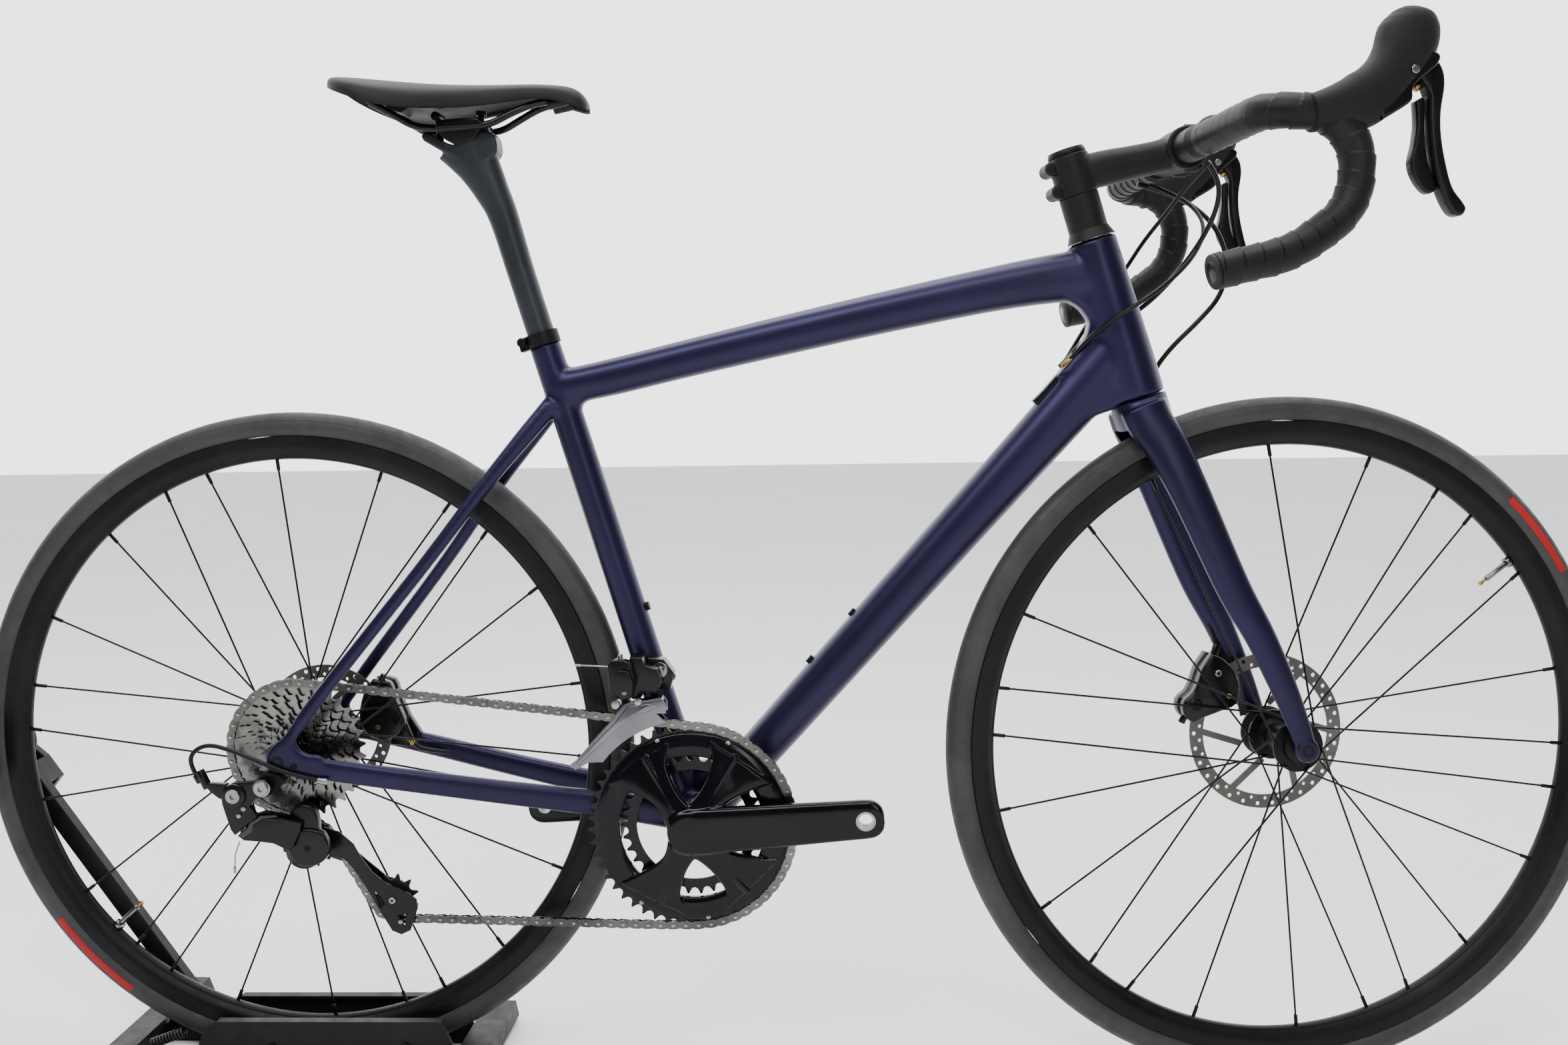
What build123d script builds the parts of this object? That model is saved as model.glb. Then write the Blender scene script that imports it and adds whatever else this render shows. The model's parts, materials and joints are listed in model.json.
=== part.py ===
"""Road bicycle with disc brakes, parked by its rear wheel in a sprung floor stand.

Frame of reference, in millimetres: the origin is on the floor under the rear axle, +X points forward
along the bicycle, +Y to its left (away from the chain) and +Z up. The front fork, bar and front wheel
are modelled straight ahead and then turned to the parked steering angle.
"""

from build123d import *
from math import asin, atan2, cos, degrees, hypot, pi, radians, sin, tan
import os

os.makedirs("parts", exist_ok=True)

# ---------------------------------------------------------------- driving dimensions
TYRE_R = 340.0  # outside radius of a 28-622 tyre
TYRE_SECTION_R = 14.0
RIM_INNER_R = 292.8
RIM_OUTER_R = 316.6
RIM_HALF_WIDTH = 11.5
WHEELBASE = 990.0
HEAD_ANGLE = 73.5
FORK_RAKE = 44.0
STEER_DEG = 9.2  # parked steering angle, to the left
BB_X = 403.0
BB_Z = 266.5
SEAT_ANGLE = 73.5
CRANK_LENGTH = 172.5
CRANK_DEG = 4.4  # right crank above the horizontal
PEDAL_THREAD_R = 7.14

CHAIN_PITCH = 12.7
ROLLER_R = 3.85
RING_TEETH = 50
SMALL_RING_TEETH = 34
COG_TEETH = (11, 12, 13, 14, 15, 17, 19, 21, 24, 27, 30, 34)
COG_PITCH = 3.55
PULLEY_TEETH = 11
RING_Y = -46.5
SMALL_RING_Y = -40.5
COG_Y = -28.0  # plane of the largest cog
GUIDE_X = 10.0
GUIDE_Z = 242.5
CAGE_LENGTH = 101.5

FRONT_ROTOR_R = 80.0
REAR_ROTOR_R = 70.0
FRONT_ROTOR_Y = 39.5
REAR_ROTOR_Y = 55.7
FRONT_END_Y = 50.0  # half of the front hub's width
REAR_END_Y = 71.0  # half of the rear hub's width
AXLE_R = 6.0
RUNNING_FIT = 0.05
CLEARANCE = 0.35

SPOKES = 24
SPOKE_R = 1.0
FLANGE_R = 25.0
HOOK_R = 22.0  # radius of the spoke holes in a flange

BAR_HALF_WIDTH = 208.0
BAR_R = 11.9
BAR_CLAMP_R = 15.9
TAPE_R = 15.6
POST_R = 13.6
STEERER_R = 14.3

HUB_Z = TYRE_R
FRONT_X = WHEELBASE
FRONT_Z = TYRE_R


# ---------------------------------------------------------------- shared helpers
def save(piece, name):
    """Label a finished piece and write it as its own STEP file."""
    piece.label = name
    export_step(piece, f"parts/{name}.step")


def at_y(y):
    """Upright plane across the bicycle at y, facing the drive side: its x is X and its y is Z."""
    return Plane.XZ.offset(-y)


def turned(outline, x, z):
    """Solid turned about the line parallel to Y through x, z. The outline is (radius, y)."""
    with BuildPart() as piece:
        with BuildSketch(Plane(origin=(x, 0, z), x_dir=(1, 0, 0), z_dir=(0, 0, 1))):
            with BuildLine():
                Polyline(*outline, close=True)
            make_face()
        revolve(axis=Axis((x, 0, z), (0, 1, 0)))
    return piece.part


def slab(outline, y_from, y_to, round_edges=0.0):
    """Plate with an (x, z) outline between two y planes, its face edges rounded."""
    with BuildPart() as piece:
        with BuildSketch(at_y(y_to)):
            with BuildLine():
                Polyline(*outline, close=True)
            make_face()
        extrude(amount=y_to - y_from)
        if round_edges:
            faces = piece.faces().filter_by(Axis.Y)
            chamfer(faces.edges(), round_edges)
    return piece.part


def disc(x, z, y_from, y_to, radius, hole=0.0):
    """Round plate across the bicycle, with an optional centre hole."""
    return turned([(hole, y_from), (radius, y_from), (radius, y_to), (hole, y_to)], x, z)


def rod(start, end, radius, hole=0.0):
    """Straight round bar between two points."""
    run = Vector(*end) - Vector(*start)
    with BuildPart() as piece:
        with BuildSketch(Plane(origin=start, z_dir=run)):
            Circle(radius)
            if hole:
                Circle(hole, mode=Mode.SUBTRACT)
        extrude(amount=run.length)
    return piece.part


def lofted(stations, wall=0.0):
    """Tube through stations (x, y, z, width, height): width lies across the bicycle."""
    points = [Vector(*s[:3]) for s in stations]
    with BuildPart() as piece:
        for shrink, mode in ((0.0, Mode.ADD), (wall, Mode.SUBTRACT))[: 2 if wall else 1]:
            sections = []
            for i, (x, y, z, width, height) in enumerate(stations):
                along = points[min(i + 1, len(points) - 1)] - points[max(i - 1, 0)]
                with BuildSketch(Plane(origin=(x, y, z), x_dir=(0, 1, 0), z_dir=along)) as section:
                    Ellipse(width / 2 - shrink, height / 2 - shrink)
                sections.append(section.sketch)
            loft(sections=sections, mode=mode)
    return piece.part


def cut(piece, *tools):
    """The piece with other solids cut away from it."""
    with BuildPart() as result:
        add(piece)
        for tool in tools:
            add(tool, mode=Mode.SUBTRACT)
    return result.part


def join(*pieces):
    """Pieces fused into one solid."""
    with BuildPart() as result:
        for piece in pieces:
            add(piece)
    return result.part


def group(*pieces):
    """Separate solids kept together in one node."""
    solids = [solid for piece in pieces for solid in piece.solids()]
    return Compound(children=solids)


def both_sides(piece):
    """A piece and its mirror image across the centre plane, as separate solids."""
    return group(piece, mirror(piece, about=Plane.XZ))


def bend_radii(points):
    """Largest smooth radius at each corner of a route: 0.45 of the shorter run over tan(half turn)."""
    radii = []
    for before, corner, after in zip(points, points[1:], points[2:]):
        run_in = Vector(*corner) - Vector(*before)
        run_out = Vector(*after) - Vector(*corner)
        half_turn = radians(run_in.get_angle(run_out)) / 2
        radii.append(0.45 * min(run_in.length, run_out.length) / tan(half_turn))
    return radii


def following_bar(points):
    """Route whose upper points turn with the bar and whose lower points stay with the frame."""
    route = []
    for x, y, z in points:
        share = min(max((z - 735) / 130, 0.0), 1.0)
        place = Vertex(x, y, z).rotate(STEER_AXIS, STEER_DEG * share)
        route.append((place.X, place.Y, place.Z))
    return route


def hose(name, points, radius):
    """Hose or housing held by the bicycle along its whole route, as straight runs and tangent arcs."""
    radii = bend_radii(points)
    with BuildPart() as piece:
        with BuildLine() as route:
            FilletPolyline(*points, radius=radii)
        start = route.wires()[0]
        with BuildSketch(Plane(origin=start @ 0, z_dir=start % 0)):
            Circle(radius)
        sweep()
    expected = pi * radius**2 * start.length
    print(f"{name}: length {start.length:.0f}, tightest bend {min(radii):.1f},",
          f"volume over section x length {piece.part.volume / expected:.4f}")
    return piece.part


# ---------------------------------------------------------------- steering axis
STEER_UP = Vector(-cos(radians(HEAD_ANGLE)), 0, sin(radians(HEAD_ANGLE)))
STEER_FOOT = Vector(FRONT_X, 0, FRONT_Z) - Vector(sin(radians(HEAD_ANGLE)), 0, cos(radians(HEAD_ANGLE))) * FORK_RAKE
STEER_AXIS = Axis(tuple(STEER_FOOT), tuple(STEER_UP))
HEAD_BOTTOM = 368.7  # stations along the steering axis, from the foot of the axle's perpendicular
HEAD_TOP = 527.7
SPACERS_TOP = 571.5
STEM_TOP = 611.0


def steered(piece):
    """A front-end piece turned from straight ahead to the parked steering angle."""
    return piece.rotate(STEER_AXIS, STEER_DEG)


def up_steerer(station):
    """Point on the steering axis."""
    return STEER_FOOT + STEER_UP * station


def steerer_ring(low, high, radius_low, radius_high, hole):
    """Ring about the steering axis between two stations."""
    with BuildPart() as piece:
        with BuildSketch(Plane(origin=up_steerer(low), x_dir=(0, 1, 0), z_dir=STEER_UP)):
            Circle(radius_low)
        with BuildSketch(Plane(origin=up_steerer(high), x_dir=(0, 1, 0), z_dir=STEER_UP)):
            Circle(radius_high)
        loft()
        if hole:
            with BuildSketch(Plane(origin=up_steerer(low), x_dir=(0, 1, 0), z_dir=STEER_UP)):
                Circle(hole)
            extrude(amount=high - low, mode=Mode.SUBTRACT)
    return piece.part


# ---------------------------------------------------------------- sprockets and chain
def pitch_radius(teeth):
    """Radius of the circle through the roller centres of a sprocket."""
    return CHAIN_PITCH / (2 * sin(pi / teeth))


def polar(x, z, radius, angle):
    """Point at a radius and angle from x, z, in the upright plane."""
    return x + radius * cos(angle), z + radius * sin(angle)


def sprocket(x, z, y, teeth, seat_angle, thickness, hole):
    """Toothed plate whose roller seats start at seat_angle, centred on the plane y."""
    step = 2 * pi / teeth
    pitch = pitch_radius(teeth)
    seat_r = ROLLER_R + 0.12
    flank = radians(68)
    with BuildPart() as piece:
        with BuildSketch(at_y(y + thickness / 2)):
            with BuildLine():
                for i in range(teeth):
                    a = seat_angle + i * step
                    cx, cz = polar(x, z, pitch, a)
                    seat = [polar(cx, cz, seat_r, a + pi + turn) for turn in (flank, 0, -flank)]
                    tips = [polar(x, z, pitch + 2.5, a + step / 2 + s * 0.75 / pitch) for s in (-1, 1)]
                    nx, nz = polar(x, z, pitch, a + step)
                    following = polar(nx, nz, seat_r, a + step + pi + flank)
                    ThreePointArc(*[(p[0], p[1]) for p in seat])
                    Polyline(seat[2], *tips, following)
            make_face()
            with Locations((x, z)):
                Circle(hole, mode=Mode.SUBTRACT)
        extrude(amount=thickness)
    return piece.part


def tangent(first, second):
    """Heading of the chain's straight run between two wheels (x, z, signed radius)."""
    dx, dz = second[0] - first[0], second[1] - first[1]
    return atan2(dz, dx) - asin((second[2] - first[2]) / hypot(dx, dz))


def chain_wheels(cage_angle):
    """The four wheels in the order the chain passes them: x, z, signed pitch radius, teeth, y."""
    tension_x, tension_z = polar(GUIDE_X, GUIDE_Z, CAGE_LENGTH, cage_angle)
    pulley = pitch_radius(PULLEY_TEETH)
    return [
        (0.0, HUB_Z, pitch_radius(COG_TEETH[-1]), COG_TEETH[-1], COG_Y),
        (GUIDE_X, GUIDE_Z, -pulley, PULLEY_TEETH, COG_Y),
        (tension_x, tension_z, pulley, PULLEY_TEETH, COG_Y),
        (BB_X, BB_Z, pitch_radius(RING_TEETH), RING_TEETH, RING_Y),
    ]


def chain_route(cage_angle):
    """Stretches of the chain: each wheel's arc and the run after it, measured in chain pitches."""
    wheels = chain_wheels(cage_angle)
    stretches = []
    travelled = 0.0
    for i, wheel in enumerate(wheels):
        before, after = wheels[i - 1], wheels[(i + 1) % len(wheels)]
        side = 1 if wheel[2] > 0 else -1
        heading_in, heading_out = tangent(before, wheel), tangent(wheel, after)
        wrap = ((heading_out - heading_in) * side) % (2 * pi)
        start_angle = heading_in - side * pi / 2
        arc = wrap * wheel[3] / (2 * pi)
        end = polar(wheel[0], wheel[1], abs(wheel[2]), start_angle + side * wrap)
        aim = tangent(wheel, after) - (pi / 2 if after[2] > 0 else -pi / 2)
        target = polar(after[0], after[1], abs(after[2]), aim)
        run = hypot(target[0] - end[0], target[1] - end[1]) / CHAIN_PITCH
        stretches.append((wheel, side, start_angle, travelled, arc, end, target, after[4], run))
        travelled += arc + run
    return stretches, travelled


def settle_cage():
    """Cage angle at which the chain has a whole, even number of links."""
    low, high = radians(-75), radians(-15)
    links = 2 * round(chain_route(radians(-35.6))[1] / 2)
    for _ in range(60):
        middle = (low + high) / 2
        if chain_route(middle)[1] > links:
            low = middle
        else:
            high = middle
    return (low + high) / 2, links


CAGE_ANGLE, LINKS = settle_cage()
STRETCHES, TOTAL_PITCHES = chain_route(CAGE_ANGLE)
TENSION_X, TENSION_Z = polar(GUIDE_X, GUIDE_Z, CAGE_LENGTH, CAGE_ANGLE)
print(f"chain: {LINKS} links, cage {degrees(CAGE_ANGLE):.2f} deg, tension pulley at {TENSION_X:.1f}, {TENSION_Z:.1f}")


def pin_position(count):
    """Place of one chain pin, counted in pitches along the route."""
    for wheel, side, start_angle, first, arc, end, target, next_y, run in STRETCHES:
        if count <= first + arc:
            angle = start_angle + side * (count - first) * 2 * pi / wheel[3]
            x, z = polar(wheel[0], wheel[1], abs(wheel[2]), angle)
            return Vector(x, wheel[4], z)
        if count <= first + arc + run:
            t = (count - first - arc) / run
            across = min(max((t * run - 2.6) / (run - 5.2), 0.0), 1.0) if run > 6 else t
            return Vector(end[0] + t * (target[0] - end[0]), wheel[4] + across * (next_y - wheel[4]),
                          end[1] + t * (target[1] - end[1]))
    return pin_position(count - TOTAL_PITCHES)


def seat_angle(index):
    """Angle of one roller seat of a wheel, so that its teeth mesh with the chain."""
    wheel, side, start_angle, first = STRETCHES[index][:4]
    return start_angle - side * first * 2 * pi / wheel[3]


# ---------------------------------------------------------------- wheels
def rim(x, z):
    """Deep-section rim with a tyre well."""
    w = RIM_HALF_WIDTH
    return turned([
        (RIM_INNER_R, -2.5), (RIM_INNER_R + 3, -6), (RIM_INNER_R + 14, -w), (RIM_OUTER_R, -w),
        (RIM_OUTER_R, -w + 2), (RIM_OUTER_R - 6, -w + 2.5), (RIM_OUTER_R - 9, -4), (RIM_OUTER_R - 9, 4),
        (RIM_OUTER_R - 6, w - 2.5), (RIM_OUTER_R, w - 2), (RIM_OUTER_R, w), (RIM_INNER_R + 14, w),
        (RIM_INNER_R + 3, 6), (RIM_INNER_R, 2.5),
    ], x, z)


def tyre(x, z):
    """Hollow tyre whose beads sit just above the rim's edge."""
    centre = TYRE_R - TYRE_SECTION_R
    angles = [radians(-130 + i * 260 / 16) for i in range(17)]
    outer = [(centre + TYRE_SECTION_R * cos(a), TYRE_SECTION_R * sin(a)) for a in angles]
    inner_r = TYRE_SECTION_R - 2.2
    inner = [(centre + inner_r * cos(a), inner_r * sin(a)) for a in reversed(angles)]
    return turned(outer + inner, x, z)


def spokes(x, z, right_y, left_y):
    """Two-cross lacing: each flange has leading and trailing spokes on its two faces."""
    pieces = []
    for flange_y, rim_y, offset in ((right_y, -1.6, 0.0), (left_y, 1.6, 0.5)):
        per_side = SPOKES // 2
        for i in range(per_side):
            hook = 2 * pi * (i + offset) / per_side
            lead = 1 if i % 2 else -1
            reach = hook + lead * 2.1 * 2 * pi / per_side
            hook_y = flange_y + lead * 3.4
            hx, hz = polar(x, z, HOOK_R, hook)
            rx, rz = polar(x, z, RIM_INNER_R - 0.5, reach)
            pieces.append(rod((hx, hook_y, hz), (rx, rim_y, rz), SPOKE_R))
    return group(*pieces)


def rotor(x, z, y, radius, arms):
    """Disc brake rotor: a pierced braking band on swept arms around a lock-ring carrier."""
    band = radius - 14
    with BuildPart() as piece:
        with BuildSketch(at_y(y + 0.9)) as outline:
            with Locations((x, z)):
                Circle(radius)
                Circle(band, mode=Mode.SUBTRACT)
                Circle(26)
                with PolarLocations(0, arms):
                    with Locations((band / 2 + 14, 5)):
                        Rectangle(band - 22, 6.5, rotation=-18)
                Circle(19, mode=Mode.SUBTRACT)
                with PolarLocations(radius - 4.6, 5 * arms):
                    Circle(2.1, mode=Mode.SUBTRACT)
                with PolarLocations(radius - 10.2, 5 * arms, start_angle=180 / (5 * arms)):
                    Circle(1.7, mode=Mode.SUBTRACT)
        extrude(amount=1.8)
    return join(piece.part, disc(x, z, y - 5, y + 5, 20.0, 14.5))


front_rim = steered(rim(FRONT_X, FRONT_Z))
save(front_rim, "front_rim")
rear_rim = rim(0, HUB_Z)
save(rear_rim, "rear_rim")
save(steered(tyre(FRONT_X, FRONT_Z)), "front_tyre")
save(tyre(0, HUB_Z), "rear_tyre")

FRONT_FLANGES = (-36.0, 22.0)
REAR_FLANGES = (-16.0, 35.0)


def flanged_hub(x, z, flanges, ends, seats):
    """Hub shell with two flanges, an axle bore and a splined rotor seat on the left."""
    low, high = flanges
    end_low, end_high = ends
    outline = [
        (AXLE_R + RUNNING_FIT, end_low), (9.5, end_low), (9.5, low - 8), (15, low - 6), (16, low - 1.6),
        (FLANGE_R, low - 1.4), (FLANGE_R, low + 1.4), (17, low + 1.6), (13, low + 8), (13, high - 8),
        (17, high - 1.6), (FLANGE_R, high - 1.4), (FLANGE_R, high + 1.4), (16, high + 1.6),
        (14.5, high + 6), (14.5, seats), (9.5, seats), (9.5, end_high), (AXLE_R + RUNNING_FIT, end_high),
    ]
    return turned(outline, x, z)


front_hub = flanged_hub(FRONT_X, FRONT_Z, FRONT_FLANGES, (-FRONT_END_Y + CLEARANCE, FRONT_END_Y - CLEARANCE), 45.0)
save(steered(front_hub), "front_hub")
rear_hub = flanged_hub(0, HUB_Z, REAR_FLANGES, (-24.6, REAR_END_Y - CLEARANCE), 61.0)
save(rear_hub, "rear_hub")
save(steered(spokes(FRONT_X, FRONT_Z, *FRONT_FLANGES)), "front_spokes")
save(spokes(0, HUB_Z, *REAR_FLANGES), "rear_spokes")
save(steered(rotor(FRONT_X, FRONT_Z, FRONT_ROTOR_Y, FRONT_ROTOR_R, 6)), "front_rotor")
save(rotor(0, HUB_Z, REAR_ROTOR_Y, REAR_ROTOR_R, 6), "rear_rotor")

# thru-axles, each with a hexagon socket in its right end
with BuildPart() as front_axle:
    add(rod((FRONT_X, -60.5, FRONT_Z), (FRONT_X, 60.0, FRONT_Z), AXLE_R))
    with BuildSketch(Plane(origin=(FRONT_X, -60.5, FRONT_Z), z_dir=(0, 1, 0))):
        RegularPolygon(3.4, 6)
    extrude(amount=9, mode=Mode.SUBTRACT)
save(steered(front_axle.part), "front_thru_axle")
with BuildPart() as rear_axle:
    add(rod((0, -79.5, HUB_Z), (0, 79.0, HUB_Z), AXLE_R))
    with BuildSketch(Plane(origin=(0, -79.5, HUB_Z), z_dir=(0, 1, 0))):
        RegularPolygon(3.4, 6)
    extrude(amount=9, mode=Mode.SUBTRACT)
save(rear_axle.part, "rear_thru_axle")

# ---------------------------------------------------------------- cassette
with BuildPart() as cassette:
    add(turned([
        (AXLE_R + RUNNING_FIT, -25.2), (17, -25.2), (17, -68.4), (13, -70.0), (9, -REAR_END_Y + CLEARANCE),
        (AXLE_R + RUNNING_FIT, -REAR_END_Y + CLEARANCE),
    ], 0, HUB_Z))
    for number, teeth in enumerate(reversed(COG_TEETH)):
        cog_y = COG_Y - number * COG_PITCH
        seat = seat_angle(0) if number == 0 else 0.35 * number
        add(sprocket(0, HUB_Z, cog_y, teeth, seat, 1.7, 16.5))
save(cassette.part, "cassette")

# ---------------------------------------------------------------- chain
INNER_GAP = 2.3
PLATE = 0.7


def link_plates(inner_face, height):
    """Pair of side plates of one link, along local X between two pins."""
    plates = []
    for side in (1, -1):
        base = inner_face if side > 0 else -inner_face - PLATE
        with BuildPart() as plate:
            with BuildSketch(Plane.XY.offset(base)):
                SlotCenterToCenter(CHAIN_PITCH, height)
                with Locations((0, height / 2 + 3.6), (0, -height / 2 - 3.6)):
                    Circle(4.4, mode=Mode.SUBTRACT)
            extrude(amount=PLATE)
        plates.append(plate.part)
    return plates


def roller(x):
    """Roller on a pin, between the inner plates."""
    with BuildPart() as piece:
        with BuildSketch(Plane.XY.offset(-INNER_GAP / 2)):
            with Locations((x, 0)):
                Circle(ROLLER_R)
        extrude(amount=INNER_GAP)
    return piece.part


inner_link = join(*link_plates(INNER_GAP / 2, 8.2), roller(-CHAIN_PITCH / 2), roller(CHAIN_PITCH / 2))
with BuildPart() as pin_ends:
    for face in (INNER_GAP / 2 + 2 * PLATE, -INNER_GAP / 2 - 2 * PLATE - 0.25):
        with BuildSketch(Plane.XY.offset(face)):
            with Locations((-CHAIN_PITCH / 2, 0), (CHAIN_PITCH / 2, 0)):
                Circle(1.8)
        extrude(amount=0.25)
outer_link = join(*link_plates(INNER_GAP / 2 + PLATE, 8.2), pin_ends.part)
chain_links = []
for number in range(LINKS):
    start, finish = pin_position(number), pin_position(number + 1)
    along = (finish - start).normalized()
    across = along.cross(Vector(0, 1, 0)).cross(along)
    middle = Plane(origin=(start + finish) * 0.5, x_dir=along, z_dir=across)
    link = outer_link if number % 2 else inner_link
    chain_links.append(link.moved(middle.location))
save(group(*chain_links), "chain")

# ---------------------------------------------------------------- crankset
RING_SEAT = seat_angle(3)
big_ring = sprocket(BB_X, BB_Z, RING_Y, RING_TEETH, RING_SEAT, 1.8, 74.0)
ring_cover = turned([(72, -45.2), (95, -45.2), (95.6, -48.2), (91, -50.4), (76, -50.4), (72, -48.6)], BB_X, BB_Z)
small_ring = sprocket(BB_X, BB_Z, SMALL_RING_Y, SMALL_RING_TEETH, 0.1, 1.8, 56.0)
save(group(join(big_ring, ring_cover), small_ring), "chainrings")

ARM_ROOT_R = 24.0
ARM_END_R = 19.0
SPIDER_ANGLES = (54.0, 117.5, -117.5, -54.0)


def crank_arm(y_inner, y_outer, heading):
    """Arm that tapers from the spindle to the rounded pedal eye."""
    ux, uz = cos(radians(heading)), sin(radians(heading))

    def in_arm(a, b):
        return BB_X + a * ux - b * uz, BB_Z + a * uz + b * ux

    with BuildPart() as piece:
        with BuildSketch(at_y(max(y_outer, y_inner))):
            with BuildLine():
                reach = CRANK_LENGTH
                top = Line(in_arm(0, ARM_ROOT_R), in_arm(reach, ARM_END_R))
                end = ThreePointArc(top @ 1, in_arm(reach + ARM_END_R, 0), in_arm(reach, -ARM_END_R))
                low = Line(end @ 1, in_arm(0, -ARM_ROOT_R))
                ThreePointArc(low @ 1, in_arm(-ARM_ROOT_R, 0), top @ 0)
            make_face()
        extrude(amount=abs(y_outer - y_inner))
        outer_face = piece.faces().filter_by(Axis.Y).sort_by(Axis.Y)[-1 if y_outer > y_inner else 0]
        fillet(outer_face.edges(), 4.5)
        px, pz = polar(BB_X, BB_Z, CRANK_LENGTH, radians(heading))
        with BuildSketch(at_y(80)):
            with Locations((px, pz)):
                Circle(PEDAL_THREAD_R)
        extrude(amount=160, mode=Mode.SUBTRACT)
    return piece.part


def spider_arm(angle):
    """Wedge from the crank's root to the chainring cover."""
    a = radians(angle + CRANK_DEG)
    left, right = (a + pi / 2, a - pi / 2)
    root = polar(BB_X, BB_Z, 14, a)
    tip = polar(BB_X, BB_Z, 73.5, a)
    outline = [polar(*root, 15, left), polar(*tip, 8.5, left), polar(*tip, 8.5, right), polar(*root, 15, right)]
    return slab(outline, -58.0, -45.4, 1.2)


with BuildPart() as crank_right:
    add(crank_arm(-57.0, -72.8, CRANK_DEG))
    for spider_angle in SPIDER_ANGLES:
        add(spider_arm(spider_angle))
    add(disc(BB_X, BB_Z, -60.0, -45.4, 22.0))
    add(turned([(72, -45.2), (95, -45.2), (95.6, -48.2), (91, -50.4), (76, -50.4), (72, -48.6)], BB_X, BB_Z),
        mode=Mode.SUBTRACT)
spindle = disc(BB_X, BB_Z, -45.4, 72.0, 12.0, 9.5)
save(group(crank_right.part, spindle), "crank_right")
with BuildPart() as crank_left:
    add(crank_arm(58.0, 72.8, CRANK_DEG + 180))
    add(disc(BB_X, BB_Z, 46.0, 58.0, 18.0))
    add(disc(BB_X, BB_Z, 40.0, 72.0, 12.0), mode=Mode.SUBTRACT)
    add(disc(BB_X, BB_Z, 72.0, 74.0, 15.0))
save(crank_left.part, "crank_left")

# ---------------------------------------------------------------- frame
SEAT_SLOPE = 1 / tan(radians(SEAT_ANGLE))


def seat_line(z):
    """Point on the seat tube's centre line at height z."""
    return BB_X - SEAT_SLOPE * (z - BB_Z), 0.0, z


bb_outer = disc(BB_X, BB_Z, -34.0, 34.0, 24.0)
save(cut(bb_outer, disc(BB_X, BB_Z, -34.0, 34.0, 20.5)), "bb_shell")
head_outer = steerer_ring(HEAD_BOTTOM, HEAD_TOP, 27.0, 23.6, 0.0)
lower_seat = steerer_ring(HEAD_BOTTOM, HEAD_BOTTOM + 9, 24.0, 24.0, 0.0)
upper_seat = steerer_ring(HEAD_TOP - 9, HEAD_TOP, 21.0, 21.0, 0.0)
save(cut(steerer_ring(HEAD_BOTTOM, HEAD_TOP, 27.0, 23.6, 17.5), lower_seat, upper_seat), "head_tube")
save(group(
    steerer_ring(HEAD_BOTTOM + 1, HEAD_BOTTOM + 9, 24.0, 24.0, STEERER_R + RUNNING_FIT),
    steerer_ring(HEAD_TOP - 9, HEAD_TOP - 1, 21.0, 21.0, STEERER_R + RUNNING_FIT),
    disc(BB_X, BB_Z, -43.0, -30.0, 20.5, 12.0 + RUNNING_FIT),
    disc(BB_X, BB_Z, 30.0, 43.0, 20.5, 12.0 + RUNNING_FIT),
), "frame_bearings")

seat_stations = [(*seat_line(z), width, width) for z, width in ((268, 34), (450, 32), (690, 31.6), (742, 30.6))]
seat_outer = lofted(seat_stations)
seat_tube = cut(seat_outer, rod(seat_line(300), seat_line(760), POST_R + RUNNING_FIT), bb_outer)
save(seat_tube, "seat_tube")

top_outer = lofted([
    (281, 0, 698.5, 33, 36), (330, 0, 710.2, 34, 36.4), (400, 0, 726, 35, 36.7), (500, 0, 747.8, 36, 38.6),
    (600, 0, 768.6, 38, 40.3), (700, 0, 787.8, 40, 42.8), (760, 0, 797, 42, 47), (812, 0, 802, 43, 52),
], 1.5)
save(cut(top_outer, head_outer, seat_outer), "top_tube")
down_stations = [
    (404, 0, 260, 46, 42), (500, 0, 367, 46, 43.1), (600, 0, 478.2, 47, 46), (700, 0, 589.4, 48, 48.9),
    (760, 0, 656.1, 48, 51.5), (838, 0, 743, 48, 56),
]
down_outer = lofted(down_stations, 1.6)
down_tube = cut(down_outer, head_outer, bb_outer, seat_outer)
save(down_tube.solids().sort_by(SortBy.VOLUME)[-1], "down_tube")

chainstay = lofted([
    (12, 75, 337.5, 8, 22), (62, 72, 329, 11, 22), (120, 63, 318.5, 14, 23), (211, 46.5, 301.5, 15, 24),
    (290, 33.5, 288, 15, 26), (345, 29, 279, 16, 29), (392, 22, 270, 20, 34),
])
stay_block = join(bb_outer, seat_outer, lofted(down_stations))
left_chainstay = cut(chainstay, stay_block)
seatstay = lofted([
    (2, 75, 350, 8, 14), (44, 68, 406, 11, 13.5), (139, 50, 522, 12, 13.5), (209, 30, 612, 13, 14.5),
    (268, 11, 682, 15, 19),
])
dropout = slab([(-12, 334), (-11, 346), (-3, 356), (8, 362), (20, 372), (26, 352), (40, 346), (40, 322),
                (12, 326), (0, 328), (-8, 329)], REAR_END_Y, 79.0, 1.5)
dropout_hole = disc(0, HUB_Z, 60.0, 90.0, AXLE_R)
left_dropout = cut(dropout, dropout_hole)
left_chainstay = join(cut(left_chainstay, disc(0, HUB_Z, 60.0, REAR_END_Y, 40.0), dropout_hole), left_dropout)
save(both_sides(left_chainstay), "chainstays")
lower_block = join(left_chainstay, dropout_hole, disc(0, HUB_Z, 60.0, REAR_END_Y, 40.0))
left_seatstay = cut(seatstay, seat_outer, lower_block, lofted(down_stations), slab(
    [(100, 400), (400, 400), (400, 800), (100, 800)], -30, 0.2))
save(both_sides(left_seatstay), "seatstays")

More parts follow.
